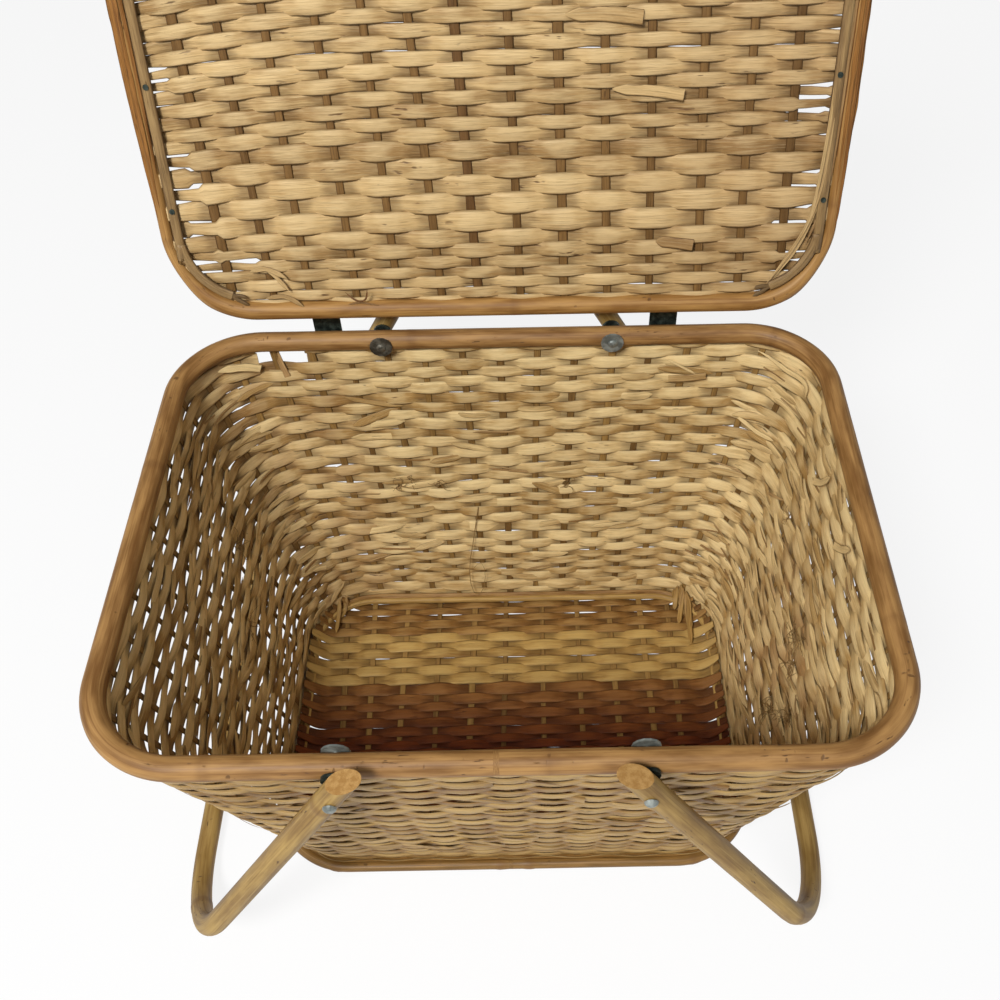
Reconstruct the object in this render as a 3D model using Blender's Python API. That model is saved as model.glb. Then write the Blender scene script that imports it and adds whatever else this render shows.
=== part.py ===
# Cane picnic basket with a hinged lid and two swinging handles.
# It stands open, as in the photograph: the lid leans back on its hinges and both handles
# hang down beside the ends, with their grips on the table.
# Metres, +Z up, origin under the middle of the base, front of the basket at -Y.
from math import cos, pi, sin, tan

import bpy
from mathutils import Matrix, Vector

MM = 0.001
DEG = pi / 180

# Rim: one bent pole round the mouth, measured over its outside, height to its axis
RIM_LENGTH = 430 * MM
RIM_DEPTH = 323 * MM
RIM_HEIGHT = 232 * MM
RIM_POLE_RADIUS = 6.5 * MM
RIM_CORNER_RADIUS = 50.5 * MM

# Base: outer size of the rod round the foot
BASE_LENGTH = 329 * MM
BASE_DEPTH = 234 * MM
BASE_CORNER_RADIUS = 55 * MM
FOOT_ROD_RADIUS = 3.5 * MM
INNER_ROD_RADIUS = 2.3 * MM

# Weave of split cane over round stakes; the walls have a plain grid of gaps on each flat stretch
WEAVE_THICKNESS = 3.6 * MM
LONG_SIDE_GAPS = 12
SHORT_SIDE_GAPS = 12
GAP_ROWS = 12
GAP_LENGTH_SHARE = 0.5
GAP_HEIGHT_SHARE = 0.3

# Lid: bent pole that lies on the rim, a little shorter in length
LID_POLE_RADIUS = 6 * MM
LID_END_STEP = 2 * MM
LID_CORNER_RADIUS = 50 * MM
BATTEN_WIDTH = 6.4 * MM
BATTEN_HEIGHT = 3.2 * MM
BATTEN_JOINT_GAP = 1 * MM
BATTEN_START_ANGLE = 12 * DEG

# Lid hinges: two nailed leaves and a pin each, outside the handles' pivots by their steps
LID_OPEN_ANGLE = 106 * DEG
LEFT_HINGE_STEP = 35.5 * MM
RIGHT_HINGE_STEP = 34 * MM
HINGE_WIDTH = 18 * MM
LEAF_THICKNESS = 1 * MM
LEAF_DROP = 6 * MM
LID_LEAF_THICKNESS = 0.9 * MM
PIN_REACH = 8.5 * MM
PIN_ANGLE = 52 * DEG
PIN_RADIUS = 1 * MM
PIN_OVERRUN = 0.3 * MM
KNUCKLE_BORE_RADIUS = 1.15 * MM
KNUCKLE_RADIUS = 2.1 * MM
LID_KNUCKLE_WIDTH = 5.6 * MM
LID_LEAF_START_ANGLE = 70 * DEG
LID_LEAF_END_ANGLE = 140 * DEG
LID_LEAF_TONGUE_ANGLE = 58 * DEG
LID_LEAF_NAIL_ANGLE = 105 * DEG

# Nails of the hinges and the battens
NAIL_SHAFT_RADIUS = 0.7 * MM
NAIL_HOLE_RADIUS = 0.85 * MM
NAIL_HEAD_RADIUS = 1.7 * MM
NAIL_HEAD_HEIGHT = 0.5 * MM
NAIL_LENGTH = 6 * MM
NAIL_SPREAD = 10 * MM
NAIL_GAP = 0.1 * MM
BATTEN_SIDE_NAIL_SHARES = (0.08, 0.42, 0.72)
BATTEN_FRONT_NAIL_SHARE = 0.6

# Handles: bent poles on through rivets; each grip's axis lies clear of the base's end
HANDLE_POLE_RADIUS = 6.6 * MM
HANDLE_REST_ANGLE = 60.5 * DEG
HANDLE_CORNER_RADIUS = 71 * MM
HANDLE_STUB = 16 * MM
HANDLE_CUT_ANGLE = 35 * DEG
LEFT_GRIP_CLEARANCE = 43.3 * MM
RIGHT_GRIP_CLEARANCE = 34.8 * MM
SPACER_THICKNESS = 1.9 * MM
SPACER_RADIUS = 6 * MM
RIVET_RADIUS = 2 * MM
RIVET_HEAD_RADIUS = 3.5 * MM
RIVET_HEAD_HEIGHT = 2.2 * MM
RIVET_PEEN_RADIUS = 3.2 * MM
RIVET_PEEN_HEIGHT = 1.6 * MM
WASHER_RADIUS = 7.5 * MM
WASHER_THICKNESS = 1.2 * MM
RIVET_HOLE_RADIUS = 2.25 * MM

# Clearances
SEAT_GAP = 0.3 * MM
WASHER_GAP = 0.2 * MM
TABLE_GAP = 0.4 * MM
CUT_OVERRUN = 1 * MM

# Facets
CORNER_STEPS = 8
POLE_SIDES = 12
ROD_SIDES = 8
TURNED_SIDES = 14
NAIL_SIDES = 8
BEND_STEPS = 10
ARC_STEPS = 5
DOME_STEPS = 3
SHARP_ANGLE = 40 * DEG

# Worked out from the sizes above
RIM_HALF_LENGTH = RIM_LENGTH / 2 - RIM_POLE_RADIUS
RIM_HALF_DEPTH = RIM_DEPTH / 2 - RIM_POLE_RADIUS
BASE_INSET = 2 * FOOT_ROD_RADIUS + SEAT_GAP
BASE_HALF_LENGTH = BASE_LENGTH / 2 - BASE_INSET
BASE_HALF_DEPTH = BASE_DEPTH / 2 - BASE_INSET
BASE_PLATE_CORNER = BASE_CORNER_RADIUS - BASE_INSET
WALL_BOTTOM = WEAVE_THICKNESS + SEAT_GAP
WALL_TOP = RIM_HEIGHT - RIM_POLE_RADIUS - SEAT_GAP
LID_HALF_LENGTH = RIM_HALF_LENGTH - LID_END_STEP
LID_HALF_DEPTH = RIM_HALF_DEPTH
LID_HEIGHT = RIM_HEIGHT + RIM_POLE_RADIUS + SEAT_GAP + LID_POLE_RADIUS
LID_INSET = LID_POLE_RADIUS + SEAT_GAP
PIN_Y = LID_HALF_DEPTH + PIN_REACH * cos(PIN_ANGLE)
PIN_Z = LID_HEIGHT + PIN_REACH * sin(PIN_ANGLE)
LEAF_INNER_Y = RIM_HALF_DEPTH + RIM_POLE_RADIUS + SEAT_GAP
LEG_OFFSET = RIM_POLE_RADIUS + 2 * WASHER_GAP + SPACER_THICKNESS + HANDLE_POLE_RADIUS
LEG_Y = RIM_HALF_DEPTH + LEG_OFFSET
HANDLE_REACH = (RIM_HEIGHT - HANDLE_POLE_RADIUS - TABLE_GAP) / sin(HANDLE_REST_ANGLE)
HANDLE_RUN = HANDLE_REACH * cos(HANDLE_REST_ANGLE)
LEFT_PIVOT_X = HANDLE_RUN - BASE_LENGTH / 2 - LEFT_GRIP_CLEARANCE
RIGHT_PIVOT_X = BASE_LENGTH / 2 + RIGHT_GRIP_CLEARANCE - HANDLE_RUN
LEFT_HINGE_X = LEFT_PIVOT_X - LEFT_HINGE_STEP
RIGHT_HINGE_X = RIGHT_PIVOT_X + RIGHT_HINGE_STEP


def material(name, color, roughness, metallic=0.0):
    new = bpy.data.materials.new(name)
    new.use_nodes = True
    shader = new.node_tree.nodes["Principled BSDF"]
    shader.inputs["Base Color"].default_value = (*color, 1.0)
    shader.inputs["Roughness"].default_value = roughness
    shader.inputs["Metallic"].default_value = metallic
    new.diffuse_color = (*color, 1.0)
    return new


def mesh_object(name, rings, closed, finish):
    """Skin a row of rings with equally many points; a closed row ends where it begins."""
    count = len(rings[0])
    points = [tuple(point) for ring in rings for point in ring]
    faces = []
    for row in range(len(rings) if closed else len(rings) - 1):
        following = (row + 1) % len(rings)
        for step in range(count):
            side = (step + 1) % count
            faces.append((row * count + step, row * count + side,
                          following * count + side, following * count + step))
    if not closed:
        faces.append(tuple(range(count))[::-1])
        faces.append(tuple((len(rings) - 1) * count + step for step in range(count)))
    return mesh_from(name, points, faces, finish)


def mesh_from(name, points, faces, finish):
    """Closed solid with its faces turned outward."""
    mesh = bpy.data.meshes.new(name)
    mesh.from_pydata(points, [], faces)
    if signed_volume(mesh) < 0:
        mesh.flip_normals()
    mesh.materials.append(finish)
    mesh.shade_smooth()
    mesh.set_sharp_from_angle(angle=SHARP_ANGLE)
    made = bpy.data.objects.new(name, mesh)
    bpy.context.scene.collection.objects.link(made)
    return made


def signed_volume(mesh):
    total = 0.0
    for face in mesh.polygons:
        corners = [mesh.vertices[index].co for index in face.vertices]
        for second, third in zip(corners[1:], corners[2:]):
            total += corners[0].dot(second.cross(third))
    return total


def outline(half_length, half_depth, corner, height):
    """Rounded rectangle, anticlockwise from the +X end of its back right corner."""
    centres = ((1, 1), (-1, 1), (-1, -1), (1, -1))
    points = []
    for quarter, (across, along) in enumerate(centres):
        middle = Vector((across * (half_length - corner), along * (half_depth - corner), height))
        for step in range(CORNER_STEPS + 1):
            angle = (quarter + step / CORNER_STEPS) * pi / 2
            points.append(middle + corner * Vector((cos(angle), sin(angle), 0)))
    return points


def hoop(name, half_length, half_depth, corner, height, radius, sides, finish):
    """Round pole bent to a rounded rectangle, with one flat of its section facing down."""
    rings = []
    for side in range(sides):
        angle = (side + 1 / 2) * 2 * pi / sides
        out = radius * cos(angle)
        up = radius * sin(angle)
        rings.append(outline(half_length + out, half_depth + out, corner + out, height + up))
    return mesh_object(name, rings, True, finish)


def circle(radius, height, sides):
    turns = (step * 2 * pi / sides for step in range(sides))
    return [Vector((radius * cos(turn), radius * sin(turn), height)) for turn in turns]


def turned(name, profile, finish, sides=TURNED_SIDES):
    """Solid of revolution about Z through pairs of radius and height."""
    return mesh_object(name, [circle(*pair, sides) for pair in profile], False, finish)


def ring(name, bore, radius, low, high, finish):
    """Washer or tube about Z."""
    profile = ((radius, low), (radius, high), (bore, high), (bore, low))
    return mesh_object(name, [circle(*pair, TURNED_SIDES) for pair in profile], True, finish)


def prism(name, outline_points, low, high, finish):
    """Outline in the YZ plane drawn out along X from low to high."""
    ends = [[Vector((x, y, z)) for y, z in outline_points] for x in (low, high)]
    return mesh_object(name, ends, False, finish)


def place(made, position, direction=(0, 0, 1)):
    """Stand a piece made about Z at a position, with its Z along a direction."""
    turn = Vector((0, 0, 1)).rotation_difference(Vector(direction))
    made.matrix_world = Matrix.Translation(Vector(position)) @ turn.to_matrix().to_4x4()
    return made


def boolean(target, tool, operation):
    step = target.modifiers.new(tool.name, "BOOLEAN")
    step.operation = operation
    step.solver = "EXACT"
    step.object = tool
    tool.hide_render = True
    tool.display_type = "WIRE"


def drill(target, name, radius, position, direction, low, high, sides=TURNED_SIDES):
    """Cut a round hole along a direction, between two distances from a position."""
    tool = turned(name, ((radius, low), (radius, high)), target.data.materials[0], sides)
    place(tool, position, direction)
    boolean(target, tool, "DIFFERENCE")
    return tool


def join(target, tools):
    for tool in tools:
        boolean(target, tool, "UNION")


def bake(target):
    """Keep the shape that the modifiers give and remove the tools that made it."""
    shape = bpy.data.meshes.new_from_object(
        target.evaluated_get(bpy.context.evaluated_depsgraph_get()))
    tools = [step.object for step in target.modifiers]
    target.modifiers.clear()
    target.data = shape
    for tool in tools:
        bpy.data.objects.remove(tool)


def axis_empty(name, position):
    empty = bpy.data.objects.new(name, None)
    empty.empty_display_size = RIM_HALF_DEPTH
    empty.location = position
    bpy.context.scene.collection.objects.link(empty)
    return empty


def hang(made, empty, offset=Vector()):
    """Parent a piece to a joint's empty, moved by an offset from where it was modelled."""
    made.parent = empty
    made.matrix_basis = Matrix.Translation(offset) @ made.matrix_basis


def rim_hoop(finish):
    rim = hoop("rim_hoop", RIM_HALF_LENGTH, RIM_HALF_DEPTH, RIM_CORNER_RADIUS, RIM_HEIGHT,
               RIM_POLE_RADIUS, POLE_SIDES, finish)
    reach = RIM_POLE_RADIUS + CUT_OVERRUN
    for side, pivot_x in (("left", LEFT_PIVOT_X), ("right", RIGHT_PIVOT_X)):
        for end, along in (("front", -1), ("rear", 1)):
            drill(rim, f"rim_hole_{side}_{end}", RIVET_HOLE_RADIUS,
                  (pivot_x, along * RIM_HALF_DEPTH, RIM_HEIGHT), (0, along, 0), -reach, reach)
    for side, hinge_x in (("left", LEFT_HINGE_X), ("right", RIGHT_HINGE_X)):
        for number, nail_x in enumerate(nail_places(hinge_x)):
            drill(rim, f"rim_nail_hole_{side}_{number}", NAIL_HOLE_RADIUS,
                  (nail_x, leaf_outer_y(), RIM_HEIGHT), (0, 1, 0),
                  -NAIL_LENGTH - SEAT_GAP, CUT_OVERRUN, NAIL_SIDES)
    bake(rim)


def nail_places(hinge_x):
    return (hinge_x - NAIL_SPREAD / 2, hinge_x + NAIL_SPREAD / 2)


def leaf_outer_y():
    return LEAF_INNER_Y + LEAF_THICKNESS


def wall_outline(share, inset, height):
    """Outline of the wall at a share of its height, from the base's to the rim's."""
    top_length = RIM_HALF_LENGTH + WEAVE_THICKNESS / 2
    top_depth = RIM_HALF_DEPTH + WEAVE_THICKNESS / 2
    top_corner = RIM_CORNER_RADIUS + WEAVE_THICKNESS / 2
    length = BASE_HALF_LENGTH + share * (top_length - BASE_HALF_LENGTH)
    depth = BASE_HALF_DEPTH + share * (top_depth - BASE_HALF_DEPTH)
    corner = BASE_PLATE_CORNER + share * (top_corner - BASE_PLATE_CORNER)
    return outline(length - inset, depth - inset, corner - inset, height)


def gap_edges(count, share):
    """Shares of a stretch at which the edges of its evenly spread gaps lie, between its ends."""
    middles = [(gap + 1 / 2) / count for gap in range(count)]
    return [middle + edge * share / (2 * count) for middle in middles for edge in (-1, 1)]


def wall_ring(rise, inset):
    """Outline of the wall at a share of its height, with the edges of its gaps."""
    points = wall_outline(rise, inset, WALL_BOTTOM + rise * (WALL_TOP - WALL_BOTTOM))
    bend = CORNER_STEPS + 1
    ring = []
    for quarter, gaps in enumerate((LONG_SIDE_GAPS, SHORT_SIDE_GAPS) * 2):
        start, stop = points[(quarter + 1) * bend - 1], points[(quarter + 1) * bend % len(points)]
        ring += points[quarter * bend:(quarter + 1) * bend]
        ring += [start.lerp(stop, share) for share in gap_edges(gaps, GAP_LENGTH_SHARE)]
    return ring


def gap_columns():
    """Steps of a wall's ring after which a gap lies."""
    columns, start = set(), 0
    for gaps in (LONG_SIDE_GAPS, SHORT_SIDE_GAPS) * 2:
        first = start + CORNER_STEPS + 1
        columns.update(range(first, first + 2 * gaps, 2))
        start = first + 2 * gaps
    return columns


def wall_weave(finish):
    """Tapered wall as an outer and an inner skin, joined at their edges and round each gap."""
    rises = [0, *gap_edges(GAP_ROWS, GAP_HEIGHT_SHARE), 1]
    skins = [[wall_ring(rise, inset) for rise in rises] for inset in (0, WEAVE_THICKNESS)]
    points = [point for skin in skins for ring in skin for point in ring]
    count, columns, last = len(skins[0][0]), gap_columns(), len(rises) - 1
    faces = []

    def index(skin, row, step):
        return (skin * len(rises) + row) * count + step % count

    def bridge(first, second):
        faces.append((index(0, *first), index(0, *second), index(1, *second), index(1, *first)))

    for step in range(count):
        bridge((0, step + 1), (0, step))
        bridge((last, step), (last, step + 1))
        for row in range(last):
            cell = [(row, step), (row, step + 1), (row + 1, step + 1), (row + 1, step)]
            if row % 2 and step in columns:
                for first, second in zip(cell, cell[1:] + cell[:1]):
                    bridge(first, second)
            else:
                faces.append([index(0, *corner) for corner in cell])
                faces.append([index(1, *corner) for corner in reversed(cell)])
    mesh_from("wall_weave", points, faces, finish)


def base_pieces(weave, rod):
    plate = [outline(BASE_HALF_LENGTH, BASE_HALF_DEPTH, BASE_PLATE_CORNER, height)
             for height in (0, WEAVE_THICKNESS)]
    mesh_object("base_weave", plate, False, weave)
    hoop("foot_hoop", BASE_LENGTH / 2 - FOOT_ROD_RADIUS, BASE_DEPTH / 2 - FOOT_ROD_RADIUS,
         BASE_CORNER_RADIUS - FOOT_ROD_RADIUS, FOOT_ROD_RADIUS * cos(pi / ROD_SIDES),
         FOOT_ROD_RADIUS, ROD_SIDES, rod)
    inset = WEAVE_THICKNESS + SEAT_GAP + INNER_ROD_RADIUS
    hoop("inner_base_hoop", BASE_HALF_LENGTH - inset, BASE_HALF_DEPTH - inset,
         BASE_PLATE_CORNER - inset, WALL_BOTTOM + INNER_ROD_RADIUS, INNER_ROD_RADIUS,
         ROD_SIDES, rod)


def batten_path(side):
    """Axis of a batten: round a hinge corner, along an end, round a front corner and in."""
    inset = LID_INSET + BATTEN_WIDTH / 2
    half_length = LID_HALF_LENGTH - inset
    half_depth = LID_HALF_DEPTH - inset
    corner = LID_CORNER_RADIUS - inset
    path = []
    for along, start, stop in ((1, pi / 2 - BATTEN_START_ANGLE, 0), (-1, 0, -pi / 2)):
        middle = Vector((half_length - corner, along * (half_depth - corner), 0))
        for step in range(CORNER_STEPS + 1):
            angle = start + (stop - start) * step / CORNER_STEPS
            path.append(middle + corner * Vector((cos(angle), sin(angle), 0)))
    path.append(Vector((BATTEN_JOINT_GAP / 2, -half_depth, 0)))
    return [Vector((side * point.x, point.y, 0)) for point in path]


def batten_section():
    """Split cane: flat on top, half round below, as pairs of across and up."""
    steps = ROD_SIDES - 1
    half = BATTEN_WIDTH / 2
    turns = (pi * step / steps for step in range(steps + 1))
    return [(half * cos(turn), -BATTEN_HEIGHT * sin(turn)) for turn in turns]


def path_directions(path):
    """Direction of a path at each of its points, half way between its two runs there."""
    runs = [(after - before).normalized() for before, after in zip(path, path[1:])]
    joints = [(before + after).normalized() for before, after in zip(runs, runs[1:])]
    return [runs[0], *joints, runs[-1]]


def sweep(name, path, section, finish):
    """Solid along a level path with a section given as pairs of across and up."""
    rings = []
    for point, direction in zip(path, path_directions(path)):
        across = Vector((direction.y, -direction.x, 0))
        rings.append([point + across * out + Vector((0, 0, up)) for out, up in section])
    return mesh_object(name, rings, False, finish)


def batten_nail_places(side):
    """Nails along the end's straight stretch, and one on the front's."""
    path = batten_path(side)
    end_start, end_stop = path[CORNER_STEPS], path[CORNER_STEPS + 1]
    front_start, front_stop = path[-2], path[-1]
    places = [end_start.lerp(end_stop, share) for share in BATTEN_SIDE_NAIL_SHARES]
    places.append(front_start.lerp(front_stop, BATTEN_FRONT_NAIL_SHARE))
    return places


def nail(name, position, direction, length, finish):
    """Nail whose head's underside is at a position, with its head towards a direction."""
    profile = ((NAIL_SHAFT_RADIUS, -length), (NAIL_SHAFT_RADIUS, 0), (NAIL_HEAD_RADIUS, 0),
               (NAIL_HEAD_RADIUS, NAIL_HEAD_HEIGHT))
    return place(turned(name, profile, finish, NAIL_SIDES), position, direction)


def lid_pieces(empty, offset, looks):
    """Lid in its closed place, hung on the empty that turns it open."""
    lid = hoop("lid_hoop", LID_HALF_LENGTH, LID_HALF_DEPTH, LID_CORNER_RADIUS, LID_HEIGHT,
               LID_POLE_RADIUS, POLE_SIDES, looks["lid_pole"])
    for hinge_x in (LEFT_HINGE_X, RIGHT_HINGE_X):
        for nail_x in nail_places(hinge_x):
            drill(lid, f"lid_nail_hole_{nail_x / MM:.0f}", NAIL_HOLE_RADIUS,
                  lid_leaf_point(nail_x), lid_leaf_normal(), -NAIL_LENGTH - SEAT_GAP,
                  CUT_OVERRUN, NAIL_SIDES)
    bake(lid)
    plate_low = LID_HEIGHT - WEAVE_THICKNESS / 2
    rings = [outline(LID_HALF_LENGTH - LID_INSET, LID_HALF_DEPTH - LID_INSET,
                     LID_CORNER_RADIUS - LID_INSET, height)
             for height in (plate_low, plate_low + WEAVE_THICKNESS)]
    weave = mesh_object("lid_weave", rings, False, looks["weave"])
    batten_top = plate_low - SEAT_GAP
    nail_seat = batten_top - BATTEN_HEIGHT - NAIL_GAP
    nail_length = BATTEN_HEIGHT + SEAT_GAP + WEAVE_THICKNESS
    pieces = [lid]
    for label, side in (("left", -1), ("right", 1)):
        path = [point + Vector((0, 0, batten_top)) for point in batten_path(side)]
        batten = sweep(f"lid_batten_{label}", path, batten_section(), looks["batten"])
        for number, spot in enumerate(batten_nail_places(side), 1):
            seat = Vector((spot.x, spot.y, nail_seat))
            for target in (batten, weave):
                drill(target, f"{target.name}_hole_{label}_{number}", NAIL_HOLE_RADIUS, seat,
                      (0, 0, -1), -nail_length - CUT_OVERRUN, CUT_OVERRUN, NAIL_SIDES)
            pieces.append(nail(f"batten_nail_{label}_{number}", seat, (0, 0, -1),
                               nail_length, looks["steel"]))
        bake(batten)
        pieces.append(batten)
    bake(weave)
    pieces.append(weave)
    for piece in pieces:
        hang(piece, empty, offset)


def lid_leaf_normal():
    return Vector((0, cos(LID_LEAF_NAIL_ANGLE), sin(LID_LEAF_NAIL_ANGLE)))


def lid_leaf_point(x):
    """Point on the outer face of the lid's leaf, where its nails go in."""
    reach = LID_INSET + LID_LEAF_THICKNESS
    return Vector((x, LID_HALF_DEPTH, LID_HEIGHT)) + reach * lid_leaf_normal()


def band(start, stop):
    """Section of a strip bent round the lid's pole, as pairs of Y and Z."""
    turns = [start + (stop - start) * step / ARC_STEPS for step in range(ARC_STEPS + 1)]
    outer = LID_INSET + LID_LEAF_THICKNESS
    edges = [(outer, turn) for turn in turns] + [(LID_INSET, turn) for turn in reversed(turns)]
    return [(LID_HALF_DEPTH + reach * cos(turn), LID_HEIGHT + reach * sin(turn))
            for reach, turn in edges]


def knuckle(name, low, high, finish):
    """Tube round the hinge's pin between two places along X."""
    made = ring(name, KNUCKLE_BORE_RADIUS, KNUCKLE_RADIUS, low, high, finish)
    return place(made, (0, PIN_Y, PIN_Z), (1, 0, 0))


def body_leaf(label, hinge_x, finish):
    """Leaf nailed to the back of the rim, with the two outer knuckles."""
    low, high = hinge_x - HINGE_WIDTH / 2, hinge_x + HINGE_WIDTH / 2
    inner = LID_KNUCKLE_WIDTH / 2 + SEAT_GAP
    strip = ((LEAF_INNER_Y, RIM_HEIGHT - LEAF_DROP), (leaf_outer_y(), RIM_HEIGHT - LEAF_DROP),
             (leaf_outer_y(), PIN_Z), (LEAF_INNER_Y, PIN_Z))
    leaf = prism(f"hinge_{label}_rim_leaf", strip, low, high, finish)
    slot = prism("middle_gap", ((LEAF_INNER_Y - CUT_OVERRUN, LID_HEIGHT),
                                (leaf_outer_y() + CUT_OVERRUN, LID_HEIGHT),
                                (leaf_outer_y() + CUT_OVERRUN, PIN_Z + CUT_OVERRUN),
                                (LEAF_INNER_Y - CUT_OVERRUN, PIN_Z + CUT_OVERRUN)),
                 hinge_x - inner, hinge_x + inner, finish)
    boolean(leaf, slot, "DIFFERENCE")
    join(leaf, [knuckle("left_knuckle", low, hinge_x - inner, finish),
                knuckle("right_knuckle", hinge_x + inner, high, finish)])
    for nail_x in nail_places(hinge_x):
        drill(leaf, "leaf_hole", NAIL_HOLE_RADIUS, (nail_x, leaf_outer_y(), RIM_HEIGHT),
              (0, 1, 0), -LEAF_THICKNESS - CUT_OVERRUN, CUT_OVERRUN, NAIL_SIDES)
    bake(leaf)


def lid_leaf(label, hinge_x, finish):
    """Leaf bent over the lid's pole, with the middle knuckle on a tongue."""
    half = LID_KNUCKLE_WIDTH / 2
    leaf = prism(f"hinge_{label}_lid_leaf", band(LID_LEAF_START_ANGLE, LID_LEAF_END_ANGLE),
                 hinge_x - HINGE_WIDTH / 2, hinge_x + HINGE_WIDTH / 2, finish)
    tongue_stop = (LID_LEAF_START_ANGLE + LID_LEAF_NAIL_ANGLE) / 2
    join(leaf, [prism("tongue", band(LID_LEAF_TONGUE_ANGLE, tongue_stop),
                      hinge_x - half, hinge_x + half, finish),
                knuckle("middle_knuckle", hinge_x - half, hinge_x + half, finish)])
    for nail_x in nail_places(hinge_x):
        drill(leaf, "leaf_hole", NAIL_HOLE_RADIUS, lid_leaf_point(nail_x), lid_leaf_normal(),
              -LID_LEAF_THICKNESS - CUT_OVERRUN, CUT_OVERRUN, NAIL_SIDES)
    bake(leaf)
    return leaf


def hinge(label, hinge_x, empty, offset, finish):
    body_leaf(label, hinge_x, finish)
    moving = [lid_leaf(label, hinge_x, finish)]
    half = HINGE_WIDTH / 2 + PIN_OVERRUN
    pin = turned(f"hinge_{label}_pin", ((PIN_RADIUS, -half), (PIN_RADIUS, half)), finish)
    place(pin, (hinge_x, PIN_Y, PIN_Z), (1, 0, 0))
    for number, nail_x in enumerate(nail_places(hinge_x), 1):
        nail(f"hinge_{label}_rim_nail_{number}",
             (nail_x, leaf_outer_y() + NAIL_GAP, RIM_HEIGHT), (0, 1, 0), NAIL_LENGTH, finish)
        seat = lid_leaf_point(nail_x) + NAIL_GAP * lid_leaf_normal()
        moving.append(nail(f"hinge_{label}_lid_nail_{number}", seat, lid_leaf_normal(),
                           NAIL_LENGTH, finish))
    for piece in moving:
        hang(piece, empty, offset)


def handle_path():
    """Axis of a handle laid out level: in along one leg, across the grip and back."""
    bend_x = HANDLE_REACH - HANDLE_CORNER_RADIUS
    bend_y = LEG_Y - HANDLE_CORNER_RADIUS
    bends = []
    for along in (-1, 1):
        middle = Vector((bend_x, along * bend_y, 0))
        for step in range(BEND_STEPS + 1):
            angle = pi / 2 * step / BEND_STEPS
            turn = angle if along < 0 else pi / 2 - angle
            bends.append(middle + HANDLE_CORNER_RADIUS * Vector((sin(turn), along * cos(turn), 0)))
    ends = [Vector((-HANDLE_STUB, along * LEG_Y, 0)) for along in (-1, 1)]
    return [ends[0], *bends, ends[1]]


def handle(label, side, empty, finish):
    """Bent pole with its ends cut at a slant, drilled for its two rivets."""
    path = handle_path()
    section = [(point.x, point.y) for point in circle(HANDLE_POLE_RADIUS, 0, POLE_SIDES)]
    rings = []
    for point, direction in zip(path, path_directions(path)):
        across = Vector((direction.y, -direction.x, 0))
        rings.append([point + across * out + Vector((0, 0, up)) for out, up in section])
    for end in (rings[0], rings[-1]):
        for point in end:
            point.x += point.z * tan(HANDLE_CUT_ANGLE)
    turned_rings = [[Vector((side * point.x, point.y, point.z)) for point in row] for row in rings]
    made = mesh_object(f"handle_{label}", turned_rings, False, finish)
    reach = HANDLE_POLE_RADIUS + CUT_OVERRUN
    for end, along in (("front", -1), ("rear", 1)):
        drill(made, f"handle_hole_{label}_{end}", RIVET_HOLE_RADIUS, (0, along * LEG_Y, 0),
              (0, 1, 0), -reach, reach)
    bake(made)
    hang(made, empty)


def dome(radius, seat, height):
    """Rounded head on a seat, as pairs of radius and height, from its edge to its crown."""
    turns = [pi / 2 * step / (DOME_STEPS + 1) for step in range(DOME_STEPS + 1)]
    return [(radius * cos(turn), seat + height * sin(turn)) for turn in turns]


def pivot(label, pivot_x, end, along, looks):
    """Rivet with its spacer outside the rim and its washer inside."""
    position = (pivot_x, along * RIM_HALF_DEPTH, RIM_HEIGHT)
    outward = (0, along, 0)
    washer_top = -RIM_POLE_RADIUS - WASHER_GAP
    peen_seat = washer_top - WASHER_THICKNESS - WASHER_GAP
    head_seat = LEG_OFFSET + HANDLE_POLE_RADIUS + WASHER_GAP
    spacer_low = RIM_POLE_RADIUS + WASHER_GAP
    peen = [(radius, -height) for radius, height in
            dome(RIVET_PEEN_RADIUS, -peen_seat, RIVET_PEEN_HEIGHT)]
    profile = [*reversed(peen), (RIVET_RADIUS, peen_seat), (RIVET_RADIUS, head_seat),
               *dome(RIVET_HEAD_RADIUS, head_seat, RIVET_HEAD_HEIGHT)]
    place(turned(f"pivot_rivet_{label}_{end}", profile, looks["zinc"]), position, outward)
    place(ring(f"pivot_washer_{label}_{end}", RIVET_HOLE_RADIUS, WASHER_RADIUS,
               washer_top - WASHER_THICKNESS, washer_top, looks["zinc"]), position, outward)
    place(ring(f"pivot_spacer_{label}_{end}", RIVET_HOLE_RADIUS, SPACER_RADIUS,
               spacer_low, spacer_low + SPACER_THICKNESS, looks["steel"]), position, outward)


def finishes():
    return {
        "weave": material("split_cane", (0.56, 0.41, 0.20), 0.6),
        "rod": material("brown_rod", (0.36, 0.17, 0.05), 0.55),
        "rim_pole": material("rim_cane", (0.43, 0.25, 0.10), 0.4),
        "lid_pole": material("lid_cane", (0.47, 0.27, 0.10), 0.42),
        "batten": material("batten_cane", (0.42, 0.29, 0.12), 0.55),
        "handle_pole": material("handle_cane", (0.46, 0.31, 0.13), 0.45),
        "zinc": material("zinc", (0.45, 0.47, 0.48), 0.4, 0.9),
        "steel": material("dark_steel", (0.10, 0.11, 0.11), 0.5, 0.8),
    }


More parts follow.
